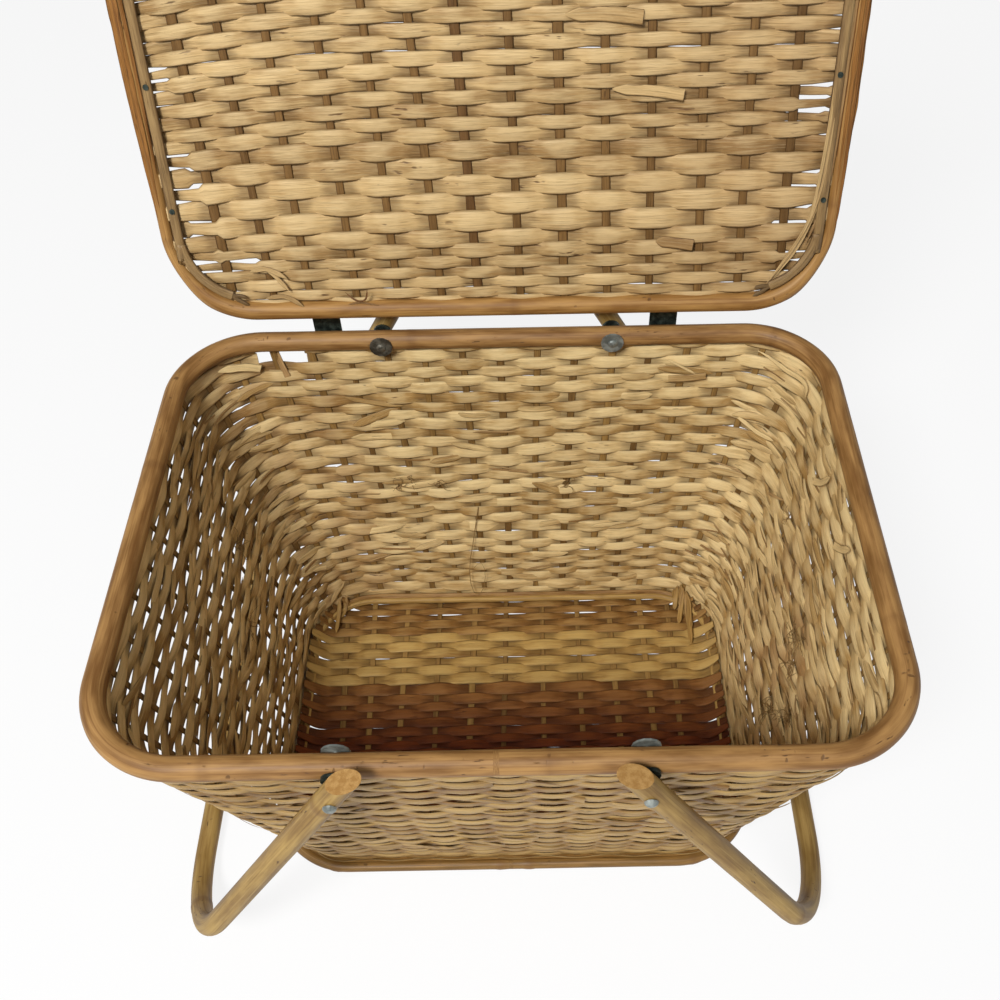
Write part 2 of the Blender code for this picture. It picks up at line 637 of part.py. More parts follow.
def main():
    for old in list(bpy.data.objects):
        bpy.data.objects.remove(old)
    looks = finishes()
    rim_hoop(looks["rim_pole"])
    wall_weave(looks["weave"])
    base_pieces(looks["weave"], looks["rod"])
    pin_place = Vector((0, PIN_Y, PIN_Z))
    lid_axis = axis_empty("lid_axis", pin_place)
    lid_pieces(lid_axis, -pin_place, looks)
    for label, hinge_x in (("left", LEFT_HINGE_X), ("right", RIGHT_HINGE_X)):
        hinge(label, hinge_x, lid_axis, -pin_place, looks["steel"])
    lid_axis.rotation_euler.x = -LID_OPEN_ANGLE
    for label, side, pivot_x in (("left", -1, LEFT_PIVOT_X), ("right", 1, RIGHT_PIVOT_X)):
        swing_axis = axis_empty(f"{label}_handle_axis", (pivot_x, 0, RIM_HEIGHT))
        handle(label, side, swing_axis, looks["handle_pole"])
        swing_axis.rotation_euler.y = side * HANDLE_REST_ANGLE
        for end, along in (("front", -1), ("rear", 1)):
            pivot(label, pivot_x, end, along, looks)


main()
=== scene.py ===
# Cane picnic basket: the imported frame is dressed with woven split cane, bent poles and metal fittings.
import random
from math import cos, pi, radians, sin, sqrt, tan

import bpy
import numpy as np
from mathutils import Matrix, Vector


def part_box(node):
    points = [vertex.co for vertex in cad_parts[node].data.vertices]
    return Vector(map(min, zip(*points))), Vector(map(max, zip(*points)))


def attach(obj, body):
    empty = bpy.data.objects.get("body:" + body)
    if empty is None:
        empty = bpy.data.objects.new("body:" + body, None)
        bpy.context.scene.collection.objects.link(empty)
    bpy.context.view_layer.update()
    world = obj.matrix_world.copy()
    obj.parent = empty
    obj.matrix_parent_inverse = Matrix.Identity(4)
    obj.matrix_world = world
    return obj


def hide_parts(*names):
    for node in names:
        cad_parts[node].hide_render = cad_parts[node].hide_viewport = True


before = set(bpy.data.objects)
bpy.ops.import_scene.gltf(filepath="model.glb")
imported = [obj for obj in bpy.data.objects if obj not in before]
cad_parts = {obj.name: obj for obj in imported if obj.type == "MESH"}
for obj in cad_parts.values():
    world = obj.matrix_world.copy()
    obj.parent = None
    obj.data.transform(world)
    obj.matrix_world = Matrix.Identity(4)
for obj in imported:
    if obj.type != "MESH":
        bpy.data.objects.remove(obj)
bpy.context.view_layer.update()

mm = 0.001


def tint(red, green, blue):
    # a colour picked on screen, 0 to 255, as the linear value that a shader takes
    def plain(level):
        level /= 255
        return level / 12.92 if level <= 0.04045 else ((level + 0.055) / 1.055) ** 2.4
    return (plain(red), plain(green), plain(blue), 1.0)


def easedStep(value, low, high):
    part = min(1.0, max(0.0, (value - low) / (high - low)))
    return part * part * (3 - 2 * part)


class Wire:
    # an output socket that adds Math nodes when it is used in a sum
    def __init__(self, graph, socket):
        self.graph, self.socket = graph, socket

    def maths(self, operation, first, second=None, clamp=False):
        sockets = {0: first} if second is None else {0: first, 1: second}
        return self.graph.node("ShaderNodeMath", {"operation": operation, "use_clamp": clamp}, sockets)

    def __abs__(self):
        return self.maths("ABSOLUTE", self)

    def also(self, name):
        return Wire(self.graph, self.socket.node.outputs[name])

    def step(self, low, high):
        # 0 below low, 1 above high, eased between them
        return self.graph.node("ShaderNodeMapRange", {"interpolation_type": "SMOOTHSTEP"},
            {"Value": self, "From Min": low, "From Max": high})


def joined(operation, turned):
    # a method that adds one Math node, with its two sides in turned order
    if turned:
        return lambda wire, other: wire.maths(operation, other, wire)
    return lambda wire, other: wire.maths(operation, wire, other)


for sign, operation in (("add", "ADD"), ("sub", "SUBTRACT"), ("mul", "MULTIPLY"), ("truediv", "DIVIDE"),
        ("pow", "POWER")):
    setattr(Wire, f"__{sign}__", joined(operation, False))
    setattr(Wire, f"__r{sign}__", joined(operation, True))


class Graph:
    def __init__(self, tree):
        self.tree = tree

    def node(self, kind, settings=None, sockets=None, out=0):
        made = self.tree.nodes.new(kind)
        for name, value in (settings or {}).items():
            if name == "stops":
                ramp = made.color_ramp
                while len(ramp.elements) < len(value):
                    ramp.elements.new(1.0)
                for element, (spot, colour) in zip(ramp.elements, value):
                    element.position, element.color = spot, colour
            else:
                setattr(made, name, value)
        for key, value in (sockets or {}).items():
            if isinstance(value, Wire):
                self.tree.links.new(value.socket, made.inputs[key])
            else:
                made.inputs[key].default_value = value
        return Wire(self, made.outputs[out])

    def blendColours(self, amount, first, second, how="MIX"):
        return self.node("ShaderNodeMix", {"data_type": "RGBA", "blend_type": how},
            {0: amount, 6: first, 7: second}, 2)

    def vector(self, x, y, z):
        return self.node("ShaderNodeCombineXYZ", None, {0: x, 1: y, 2: z})

    def grain(self, vector, scale, detail=3.0, roughness=0.55, distortion=0.0):
        return self.node("ShaderNodeTexNoise", None, {"Vector": vector, "Scale": scale, "Detail": detail,
            "Roughness": roughness, "Distortion": distortion})


class Finish(Graph):
    # a material whose shader reads attributes that its piece carries
    def __init__(self, name):
        self.material = bpy.data.materials.new(name)
        self.material.use_nodes = True
        super().__init__(self.material.node_tree)
        self.shader = self.tree.nodes["Principled BSDF"]

    def carried(self, name, out="Fac"):
        return self.node("ShaderNodeAttribute", {"attribute_name": name}, None, out)

    def place(self):
        return self.node("ShaderNodeTexCoord", None, None, "Object")

    def plug(self, sockets):
        for name, value in sockets.items():
            if isinstance(value, Wire):
                self.tree.links.new(value.socket, self.shader.inputs[name])
            else:
                self.shader.inputs[name].default_value = value
        return self.material

    def layered(self, body, look, layers):
        # each layer's amount and the name of its colour in the look
        for amount, colour in layers:
            body = self.blendColours(amount, body, look[colour])
        return body

    def bump(self, height, strength, distance):
        return self.node("ShaderNodeBump", None, {"Height": height, "Strength": strength,
            "Distance": distance})


class Grower(Graph):
    # a Geometry Nodes tree with named inputs, run once on a guide mesh
    def __init__(self, name, inputs):
        super().__init__(bpy.data.node_groups.new(name, "GeometryNodeTree"))
        self.tree.interface.new_socket("Guides", in_out="INPUT", socket_type="NodeSocketGeometry")
        for label, kind in inputs:
            self.tree.interface.new_socket(label, in_out="INPUT", socket_type="NodeSocket" + kind)
        self.tree.interface.new_socket("Cane", in_out="OUTPUT", socket_type="NodeSocketGeometry")
        self.entry = self.tree.nodes.new("NodeGroupInput")

    def given(self, label):
        return Wire(self, self.entry.outputs[label])

    def carried(self, name, kind="FLOAT"):
        return self.node("GeometryNodeInputNamedAttribute", {"data_type": kind}, {"Name": name})

    def keep(self, geometry, name, value, kind="FLOAT"):
        return self.node("GeometryNodeStoreNamedAttribute", {"data_type": kind, "domain": "POINT"},
            {"Geometry": geometry, "Name": name, "Value": value})

    def end(self, geometry):
        solid = self.node("GeometryNodeRealizeInstances", None, {0: geometry})
        dressed = self.node("GeometryNodeSetMaterial", None, {"Geometry": solid,
            "Material": self.given("Finish")})
        leave = self.tree.nodes.new("NodeGroupOutput")
        self.tree.links.new(dressed.socket, leave.inputs["Cane"])

    def grow(self, name, guides, values, finish):
        shell = bpy.data.objects.new(name + "Guides", guides)
        bpy.context.scene.collection.objects.link(shell)
        step = shell.modifiers.new("grow", "NODES")
        step.node_group = self.tree
        wanted = dict(values, Finish=finish)
        for item in self.tree.interface.items_tree:
            if item.item_type == "SOCKET" and item.in_out == "INPUT" and item.name in wanted:
                step[item.identifier] = wanted[item.name]
        shape = bpy.data.meshes.new_from_object(shell.evaluated_get(bpy.context.evaluated_depsgraph_get()))
        shell.modifiers.clear()
        bpy.data.objects.remove(shell)
        made = bpy.data.objects.new(name, shape)
        bpy.context.scene.collection.objects.link(made)
        shape.name = name
        return made


def guideMesh(name, lines):
    # lines: points, closed, and equally long lists of values to carry on the points
    points, edges, carried = [], [], {}
    for line in lines:
        start, count = len(points), len(line["points"])
        points += [tuple(point) for point in line["points"]]
        edges += [(start + step, start + step + 1) for step in range(count - 1)]
        if line.get("closed"):
            edges.append((start + count - 1, start))
        for label, values in line["carried"].items():
            carried.setdefault(label, []).extend(values)
    mesh = bpy.data.meshes.new(name)
    mesh.from_pydata(points, edges, [])
    for label, values in carried.items():
        flat = np.array(values, dtype=np.float32)
        if flat.ndim == 2:
            mesh.attributes.new(label, "FLOAT_VECTOR", "POINT").data.foreach_set("vector", flat.ravel())
        else:
            mesh.attributes.new(label, "FLOAT", "POINT").data.foreach_set("value", flat)
    return mesh


strandInputs = ("Thickness", "Wave", "Pinch", "Wander", "Slant", "Tilt", "Ragged")


def strandTree():
    # split cane strips that run over and under, laid flat on the surface that their guides follow
    g = Grower("splitCaneStrands", [(label, "Float") for label in (*strandInputs, "Seed")]
        + [("Finish", "Material")])
    out, lift = g.carried("out", "FLOAT_VECTOR"), g.carried("lift", "FLOAT_VECTOR")
    along, tag, angle = g.carried("along"), g.carried("tag"), g.carried("phase") * pi
    swing = angle.maths("COSINE", angle) * g.carried("give")
    stray = g.grain(g.vector(along * 14.0, tag * 37.0, g.given("Seed")), 1.0, 2.0) - 0.5
    rise = g.node("ShaderNodeVectorMath", {"operation": "SCALE"}, {0: out,
        "Scale": swing * g.given("Wave")})
    drift = g.node("ShaderNodeVectorMath", {"operation": "SCALE"}, {0: lift,
        "Scale": stray * g.given("Wander") + angle.maths("SINE", angle) * g.given("Slant")})
    shift = g.node("ShaderNodeVectorMath", {"operation": "ADD"}, {0: rise, 1: drift})
    bent = g.node("GeometryNodeSetPosition", None, {"Geometry": g.given("Guides"), "Offset": shift})
    curve = g.node("GeometryNodeMeshToCurve", None, {0: g.keep(bent, "swing", swing)})
    curve = g.node("GeometryNodeSetCurveNormal", {"mode": "FREE"}, {"Curve": curve, "Normal": lift})
    lean = g.grain(g.vector(along * 23.0, tag * 53.0, g.given("Seed") + 9.0), 1.0, 1.0) - 0.5
    curve = g.node("GeometryNodeSetCurveTilt", None, {"Curve": curve,
        "Tilt": lean * g.given("Tilt") * 2.0})
    ragged = g.grain(g.vector(along * 45.0, tag * 91.0, g.given("Seed") + 5.0), 1.0, 2.0) - 0.5
    wide = g.carried("wide") * (1.0 - g.given("Pinch") * (1.0 - abs(swing))) * (1.0 + ragged
        * g.given("Ragged"))
    ring = g.node("GeometryNodeCurvePrimitiveCircle", {"mode": "RADIUS"},
        {"Resolution": 10, "Radius": 1.0})
    spot = g.node("ShaderNodeSeparateXYZ", None, {0: g.node("GeometryNodeInputPosition")})
    ring = g.keep(ring, "side", spot)
    ring = g.keep(ring, "face", spot.also("Y"))
    up = spot.also("Y")
    flat = g.vector(spot * 0.5, up.maths("SIGN", up) * abs(up) ** 0.8 * g.given("Thickness") * 60.0, 0.0)
    ring = g.node("GeometryNodeSetPosition", None, {"Geometry": ring, "Position": flat})
    skin = g.node("GeometryNodeCurveToMesh", None, {"Curve": curve, "Profile Curve": ring, "Scale": wide,
        "Fill Caps": True})
    g.end(g.node("GeometryNodeSetShadeSmooth", None, {"Geometry": skin, "Shade Smooth": True}))
    return g


def poleTree():
    # round cane with a slightly uneven girth and a swollen ring at each of its knots
    g = Grower("caneBeams", [("Radius", "Float"), ("Sides", "Int"), ("Uneven", "Float"),
        ("Knot spacing", "Float"), ("Knot swell", "Float"), ("Knot start", "Float"), ("Seed", "Float"),
        ("Finish", "Material")])
    along, tag = g.carried("along"), g.carried("tag")
    turn = along / g.given("Knot spacing") + g.given("Knot start") + tag
    away = abs(turn.maths("FRACT", turn) - 0.5) * g.given("Knot spacing")
    knot = 1.0 - away.step(0.0012, 0.0042)
    girth = g.grain(g.vector(along * 18.0, tag * 7.0, g.given("Seed")), 1.0, 2.0) - 0.5
    size = g.given("Radius") * g.carried("wide") * (1.0 + girth * g.given("Uneven") + knot
        * g.given("Knot swell"))
    curve = g.node("GeometryNodeMeshToCurve", None, {0: g.keep(g.given("Guides"), "knot", knot)})
    curve = g.node("GeometryNodeSetCurveNormal", {"mode": "FREE"}, {"Curve": curve,
        "Normal": g.carried("out", "FLOAT_VECTOR")})
    ring = g.node("GeometryNodeCurvePrimitiveCircle", {"mode": "RADIUS"},
        {"Resolution": g.given("Sides"), "Radius": 1.0})
    spot = g.node("GeometryNodeInputPosition")
    ring = g.keep(ring, "around", spot, "FLOAT_VECTOR")
    skin = g.node("GeometryNodeCurveToMesh", None, {"Curve": curve, "Profile Curve": ring, "Scale": size,
        "Fill Caps": True})
    g.end(g.node("GeometryNodeSetShadeSmooth", None, {"Geometry": skin, "Shade Smooth": True}))
    return g


strands, poles = strandTree(), poleTree()
print("trees built")


def splitCane(name, look):
    # split cane read along its own strand: fibre streaks, skin patches, frayed lines and knots, with painted
    # shade at its edges and, with some dirt, where it turns under, and a painted highlight, with some wear,
    # where it lies in front
    f = Finish(name)
    along, side, tag, tone = (f.carried(label) for label in ("along", "side", "tag", "tone"))
    streak = f.grain(f.vector(along * 26.0, side * look["fibres"], tag * 61.0), 1.0, 5.0, 0.68)
    fine = f.grain(f.vector(along * 90.0, side * look["fibres"] * 3.2, tag * 23.0), 1.0, 4.0, 0.65)
    patch = f.grain(f.vector(along * 34.0, side * 0.8, tag * 17.0), 1.0, 3.0, 0.6)
    split = f.grain(f.vector(along * 16.0, side * look["fibres"] * 1.4, tag * 83.0), 1.0, 2.0, 0.5)
    body = f.blendColours((tone + (patch - 0.5) * look["patchiness"]).step(0.05, 0.95), look["dark"],
        look["pale"])
    crack = 1.0 - abs(split - 0.5).step(0.004, 0.022)
    spots = f.grain(f.vector(along * 90.0, side * 2.2, tag * 41.0), 1.0, 2.0, 0.5)
    where = f.grain(f.vector(along * 9.0, side * 0.3, tag * 71.0), 1.0, 1.0)
    speck = spots.step(0.64, 0.72) * where.step(0.54, 0.64)
    # the edges of each strip are darkened as painted shade, where strips meet and shadow falls between them
    edge = abs(side).step(0.7, 1.0)
    face = f.carried("face")
    swing = f.carried("swing") * face.maths("SIGN", face) + (patch - 0.5) * 1.8 + (streak - 0.5) * 0.8
    # painted shade, with some dirt, where the strand turns under its neighbours
    hidden = 1.0 - swing.step(look["dirtFrom"], look["dirtTo"])
    body = f.layered(body, look, ((streak.step(0.5, 0.72) * look["streaks"], "streak"),
        ((1.0 - streak.step(0.3, 0.47)) * look["shine"], "bright"), (fine.step(0.52, 0.7) * look["fine"],
        "bright"), ((1.0 - fine.step(0.3, 0.46)) * look["fine"], "streak"),
        # painted highlight, with some wear, on the parts of a strand that lie in front
        (crack * look["cracks"], "shade"), (swing.step(0.35, 1.0) * look["worn"], "bright"),
        (hidden * look["dirt"], "shade"), (edge * look["edge"], "shade"),
        (speck * look["specks"], "speck")))
    # the shade attribute multiplies in a darker colour: real stains, and painted shade on the walls' dark
    # blotches, the base's front rows and the lid's right side
    body = f.blendColours(f.carried("shade"), body, look["stain"], "MULTIPLY")
    body = f.blendColours(face.step(-0.2, 0.2), body, look["outer"], "MULTIPLY")
    height = streak * 0.6 + fine * 0.3 - speck * 0.6 - crack * 0.5
    return f.plug({"Base Color": body, "Roughness": 0.58 - fine * 0.18 + edge * 0.1,
        "Specular IOR Level": 0.35, "Normal": f.bump(height, look["relief"], 0.0006)})


def poleCane(name, look):
    # round cane read along its own pole: length streaks, mottling, flecks, scratches and dark knots
    f = Finish(name)
    along, tag, knot = f.carried("along"), f.carried("tag"), f.carried("knot")
    around = f.node("ShaderNodeSeparateXYZ", None, {0: f.carried("around", "Vector")})
    x, y = around, around.also("Y")
    streak = f.grain(f.vector(along * 9.0, x * look["streakFine"], y * look["streakFine"] + tag * 9.0),
        1.0, 4.0, 0.6)
    mottle = f.grain(f.vector(along * 26.0, x * 1.1, y * 1.1 + tag * 3.0), 1.0, 3.0, 0.55)
    fleck = f.grain(f.vector(along * 150.0, x * 5.0, y * 5.0 + tag), 1.0, 2.0, 0.5)
    where = f.grain(f.vector(along * 14.0, x * 0.9, y * 0.9 + tag * 5.0), 1.0, 1.0)
    nick = f.grain(f.vector(along * 230.0, x * 0.9, y * 0.9 + tag * 2.0), 1.0, 1.0)
    body = f.blendColours((mottle + f.carried("tone") - 0.5).step(0.28, 0.72), look["dark"], look["pale"])
    specks = fleck.step(0.66, 0.73) * where.step(0.5, 0.62)
    nicks = nick.step(0.7, 0.76) * where.step(0.52, 0.6)
    body = f.layered(body, look, ((streak.step(0.5, 0.72) * look["streaks"], "streak"),
        ((1.0 - streak.step(0.28, 0.46)) * 0.5, "bright"), (specks * look["flecks"], "fleck"),
        (nicks * look["nicks"], "fleck"), (knot * look["knots"], "knot")))
    body = f.blendColours(f.carried("shade"), body, look["stain"], "MULTIPLY")
    height = streak * 0.5 + mottle * 0.25 - specks * 0.7 - nicks * 0.6
    return f.plug({"Base Color": body, "Roughness": look["roughness"] + (mottle - 0.5) * 0.25,
        "Coat Weight": look["coat"], "Coat Roughness": 0.3, "Specular IOR Level": 0.35,
        "Normal": f.bump(height, 0.6, 0.0006)})


def sawnEnd(name, look):
    # the pores and pale pith of a sawn cane end
    f = Finish(name)
    place = f.place()
    pores = f.grain(place, 2200.0, 2.0, 0.6)
    cloud = f.grain(place, 320.0, 3.0, 0.6)
    body = f.blendColours(cloud.step(0.35, 0.65), look["dark"], look["pale"])
    body = f.blendColours(pores.step(0.58, 0.7) * 0.6, body, look["pore"])
    return f.plug({"Base Color": body, "Roughness": 0.75, "Specular IOR Level": 0.3,
        "Normal": f.bump(pores, 0.4, 0.0003)})


def metal(name, look):
    f = Finish(name)
    place = f.place()
    cloud = f.grain(place, look["cloudScale"], 4.0, 0.6)
    grit = f.grain(place, look["gritScale"], 3.0, 0.6)
    body = f.blendColours(cloud.step(0.35, 0.68), look["dark"], look["pale"])
    body = f.blendColours(grit.step(0.58, 0.75) * look["rust"], body, look["rustColour"])
    return f.plug({"Base Color": body, "Metallic": look["metallic"] - cloud.step(0.45, 0.7) * 0.25,
        "Roughness": look["roughness"] + grit * 0.2, "Normal": f.bump(grit, 0.35, 0.0003)})


def madeFrom(base, **changes):
    # a look with changes, whose colours are given as on screen
    colours = {key: tint(*value) for key, value in changes.items() if isinstance(value, tuple)}
    return {**base, **changes, **colours}


wallLook = madeFrom({}, dark=(174, 136, 78), pale=(240, 210, 150), bright=(252, 228, 172),
    streak=(152, 110, 54), shade=(88, 58, 24), speck=(84, 52, 22), stain=(150, 96, 38), fibres=5.0,
    patchiness=1.3, streaks=0.4, shine=0.45, cracks=0.12, edge=0.4, specks=0.8, relief=0.6, worn=0.3,
    dirt=0.5, dirtFrom=-0.9, dirtTo=0.2, fine=0.4, outer=(208, 194, 164))
lidLook = madeFrom(wallLook, dark=(160, 124, 74), pale=(214, 180, 124), bright=(236, 210, 158),
    patchiness=1.5, dirt=0.45, dirtFrom=-1.0, dirtTo=-0.1)
baseLook = madeFrom(wallLook, dark=(130, 92, 38), pale=(186, 150, 84), bright=(212, 180, 112),
    stain=(170, 84, 8), outer=(255, 255, 255))
stakeLook = madeFrom(wallLook, dark=(106, 76, 38), pale=(158, 122, 66), bright=(174, 140, 84),
    streak=(92, 62, 28), fibres=4.0, edge=0.5, worn=0.0, dirt=0.0)
lidStakeLook = madeFrom(stakeLook, dark=(124, 94, 54), pale=(168, 134, 88), bright=(186, 154, 106),
    edge=0.7)
barkLook = madeFrom(wallLook, dark=(112, 66, 20), pale=(160, 108, 48), bright=(186, 136, 74),
    streak=(84, 46, 16), fibres=3.0, relief=0.8, dirt=0.0, worn=0.0, streaks=0.8)
battenLook = madeFrom(wallLook, dark=(118, 90, 54), pale=(168, 136, 88), bright=(184, 154, 106),
    streak=(92, 66, 36), shade=(56, 34, 22), stain=(70, 44, 30), fibres=3.0, relief=0.7, dirt=0.0,
    worn=0.0, streaks=0.7, edge=0.6)
rimLook = madeFrom({}, dark=(118, 80, 38), pale=(172, 130, 76), streak=(114, 74, 34),
    bright=(190, 150, 92), fleck=(66, 38, 16), knot=(100, 62, 28), stain=(140, 86, 40), streakFine=5.0,
    streaks=0.7, flecks=0.8, nicks=0.6, knots=0.3, roughness=0.56, coat=0.04)
lidPoleLook = madeFrom(rimLook, dark=(134, 92, 42), pale=(178, 134, 74), streak=(124, 80, 30),
    bright=(194, 150, 86))
handleLook = madeFrom(rimLook, dark=(130, 98, 46), pale=(176, 144, 82), streak=(112, 78, 32),
    bright=(198, 168, 108), nicks=0.6, flecks=0.9, knots=0.4)
rodLook = madeFrom(rimLook, dark=(108, 78, 34), pale=(144, 108, 56), streak=(88, 58, 22), roughness=0.5,
    coat=0.1)
fibreLook = madeFrom(rimLook, dark=(98, 72, 38), pale=(140, 110, 66), streak=(80, 58, 28), coat=0.0)
innerRodLook = madeFrom(fibreLook, dark=(144, 110, 54), pale=(190, 154, 88), streak=(110, 80, 38))
zincLook = madeFrom({}, dark=(122, 128, 124), pale=(160, 166, 160), rustColour=(110, 96, 80), rust=0.3,
    metallic=0.65, roughness=0.4, cloudScale=200.0, gritScale=1400.0)
tarnishLook = madeFrom(zincLook, dark=(74, 70, 60), pale=(116, 112, 100))
steelLook = madeFrom({}, dark=(40, 48, 44), pale=(74, 84, 76), rustColour=(86, 60, 40), rust=0.5,
    metallic=0.8, roughness=0.4, cloudScale=300.0, gritScale=1600.0)

wallCane = splitCane("wallCane", wallLook)
lidCaneWeave = splitCane("lidWeaveCane", lidLook)
baseCane = splitCane("baseCane", baseLook)
stakeCane = splitCane("stakeCane", stakeLook)
lidStakeCane = splitCane("lidStakeCane", lidStakeLook)
barkCane = splitCane("barkCane", barkLook)
battenCane = splitCane("battenCane", battenLook)
rimCane = poleCane("rimCane", rimLook)
lidPoleCane = poleCane("lidPoleCane", lidPoleLook)
handleCane = poleCane("handleCane", handleLook)
rodCane = poleCane("footRodCane", rodLook)
fibreCane = poleCane("fibreCane", fibreLook)
innerRodCane = poleCane("innerRodCane", innerRodLook)
endGrain = sawnEnd("sawnEnd", madeFrom({}, dark=(162, 120, 64), pale=(184, 144, 86), pore=(126, 86, 42)))
zinc = metal("dullZinc", zincLook)
tarnished = metal("tarnishedZinc", tarnishLook)
darkSteel = metal("darkSteel", steelLook)
print("finishes built")


wallSizes = dict(low=3.9 * mm, high=225.2 * mm, lowHalf=(155.4 * mm, 107.9 * mm), lowCorner=45.9 * mm,
    highHalf=(208.5 * mm, 155.0 * mm), highCorner=50.5 * mm, stakes=54, firstStake=0.107,
    topMarks=(0, 158 * mm, 237.3 * mm, 341.8 * mm), lowMarks=(0, 126.4 * mm, 160 * mm, 243.6 * mm))


def loopSpot(share, halfX, halfY, corner, laid):
    # a place and its outward direction on a rounded rectangle, from the middle of its front, seen from above
    # anticlockwise; laid gives the shares at which its nine stretches end
    piece = int(np.searchsorted(laid, share, side="right"))
    start = laid[piece - 1] if piece else 0.0
    part = (share - start) / (laid[piece] - start)
    inX, inY = halfX - corner, halfY - corner
    runs = {0: ((0, -halfY), (inX, -halfY), (0, -1)), 2: ((halfX, -inY), (halfX, inY), (1, 0)),
        4: ((inX, halfY), (-inX, halfY), (0, 1)), 6: ((-halfX, inY), (-halfX, -inY), (-1, 0)),
        8: ((-inX, -halfY), (0, -halfY), (0, -1))}
    if piece in runs:
        (x0, y0), (x1, y1), face = runs[piece]
        return (x0 + (x1 - x0) * part, y0 + (y1 - y0) * part), face
    middles = {1: (inX, -inY, -90), 3: (inX, inY, 0), 5: (-inX, inY, 90), 7: (-inX, -inY, 180)}
    x, y, turn = middles[piece]
    angle = radians(turn + 90 * part)
    return (x + corner * cos(angle), y + corner * sin(angle)), (cos(angle), sin(angle))


def loopShares(halfX, halfY, corner):
    across, deep, bend = 2 * (halfX - corner), 2 * (halfY - corner), corner * pi / 2
    lengths = np.array([across / 2, bend, deep, bend, across, bend, deep, bend, across / 2])
    return np.cumsum(lengths) / lengths.sum() + 1e-12, lengths.sum()


def quarterSpot(length, half, corner):
    # a length from the middle of a long side round its bend to the middle of a short side
    flat, bend = half[0] - corner, corner * pi / 2
    if length <= flat:
        return length, half[1]
    if length <= flat + bend:
        angle = (length - flat) / corner
        return flat + corner * sin(angle), half[1] - corner + corner * cos(angle)
    return half[0], half[1] - corner - (length - flat - bend)


def wallPoint(share, height):
    # stakes lean in from the rim to the base, where they stand closer round the bends
    w = wallSizes
    quarter, part = divmod(share % 1.0 * 4, 1)
    top = (part if quarter in (0, 2) else 1 - part) * w["topMarks"][-1]
    (topX, topY), (lowX, lowY) = (quarterSpot(top, w["highHalf"], w["highCorner"]),
        quarterSpot(np.interp(top, w["topMarks"], w["lowMarks"]), w["lowHalf"], w["lowCorner"]))
    rise = (height - w["low"]) / (w["high"] - w["low"])
    x, y = lowX + rise * (topX - lowX), lowY + rise * (topY - lowY)
    return Vector((x if quarter < 2 else -x, y if quarter in (1, 2) else -y, height))


def wallSpot(share, height):
    # a place on the wall's middle surface with its outward normal and the way up the wall
    place = wallPoint(share, height)
    ahead = (wallPoint(share + 0.0006, height) - wallPoint(share - 0.0006, height)).normalized()
    up = wallPoint(share, height + 1 * mm) - place
    out = ahead.cross(up).normalized()
    return place, out, out.cross(ahead).normalized()


pinPlace = Vector((0, 160.233 * mm, 251.498 * mm))
lidTurn = Matrix.Translation(pinPlace) @ Matrix.Rotation(radians(-106), 4,
    "X") @ Matrix.Translation(-pinPlace)


def openLid(point):
    return lidTurn @ Vector(point)


def openWay(direction):
    return lidTurn.to_3x3() @ Vector(direction)


strandLabels = ("out", "lift", "along", "phase", "tag", "tone", "wide", "give", "shade")


def strandLine(spots, **whole):
    # spots hold place, out, lift, along and phase; the rest are one value or a list with one for each spot
    carried = {label: [] for label in strandLabels}
    for index, (place, out, lift, along, phase) in enumerate(spots):
        carried["out"].append(tuple(out))
        carried["lift"].append(tuple(lift))
        carried["along"].append(along)
        carried["phase"].append(phase)
        for label, value in dict({"give": 1.0, "shade": 0.0, "wide": 1.0}, **whole).items():
            carried[label].append(value[index] if isinstance(value, list) else value)
    return {"points": [spot[0] for spot in spots], "carried": carried}


wallWeave = dict(heights=(226, 219.1, 212, 206.3, 199, 193.9, 186.1, 178.9, 172.1, 165.2, 157.8, 151.1,
    143.1, 135, 127.2, 121, 113.5, 107.7, 100.9, 95.8, 88.9, 81.9, 74.4, 65.8, 59, 53.2, 46.7, 41.3, 35.8,
    30.2, 25.1, 16.8, 10.3, 5.1), pointsPerStake=7, thickness=1.25 * mm, wave=1.2 * mm, cover=1.36,
    pinch=0.1, wander=1.6 * mm, slant=0.15 * mm, tilt=0.14, ragged=0.45, rowShift=0.15 * mm,
    ripple=1.3 * mm, leftCover=0.88, rightCover=1.14, brokenRows=2, brokenFrom=32.15, brokenTo=33.45,
    footShift=1.8 * mm, seed=11, stains=((0.56, 0.68, -40, 260, 0.4), (0.13, 0.31, 10, 170, 0.55), (0.19,
    0.25, 50, 150, 0.7)), thinPlaces=((0.605, 160), (0.603, 128), (0.393, 142), (0.378, 140),
    (0.382, 128), (0.37, 166)))


def rowPitches(places):
    # how wide each row must be to meet its neighbours, more so on its wider side
    steps = [abs(a - b) for a, b in zip(places, places[1:])]
    steps = [steps[0]] + steps + [steps[-1]]
    return [(a + b) / 4 + max(a, b) / 2 for a, b in zip(steps, steps[1:])]


def wallShift(share, height, ripple):
    # neighbouring rows wander up and down together, and lie true at the base and the rim
    rise = min(1.0, max(0.0, height / wallSizes["high"]))
    wander = sin(2 * pi * (share * 7 + height / 0.13)) + 0.6 * sin(2 * pi * (share * 17 - height / 0.08))
    return ripple * wander * sin(pi * rise)


def wallWidth(share, height, settings):
    share %= 1.0
    width = 1 - (1 - settings["leftCover"]) * (0.64 < share < 0.86) - (1
        - settings["rightCover"]) * (0.14 < share < 0.36)
    for placeShare, placeHeight in settings["thinPlaces"]:
        if abs(share - placeShare) < 0.006 and abs(height - placeHeight * mm) < 5 * mm:
            width *= 0.72
    return width


def wallShadeAndStain(share, height, blotch, settings):
    # dark blotches of painted shade, with some stain, that fade out at their borders, which are from, to,
    # low and high, with a strength
    strength = 0.0
    for first, last, low, high, amount in settings["stains"]:
        inside = min(easedStep(share % 1.0, first, first + 0.04), easedStep(-share % 1.0, 1 - last,
            1.04 - last), easedStep(height / mm, low, low + 35), easedStep(-height / mm, -high,
            35 - high))
        strength = max(strength, inside * amount * (0.3 + 0.7 * max(0.0, blotch)))
    return strength


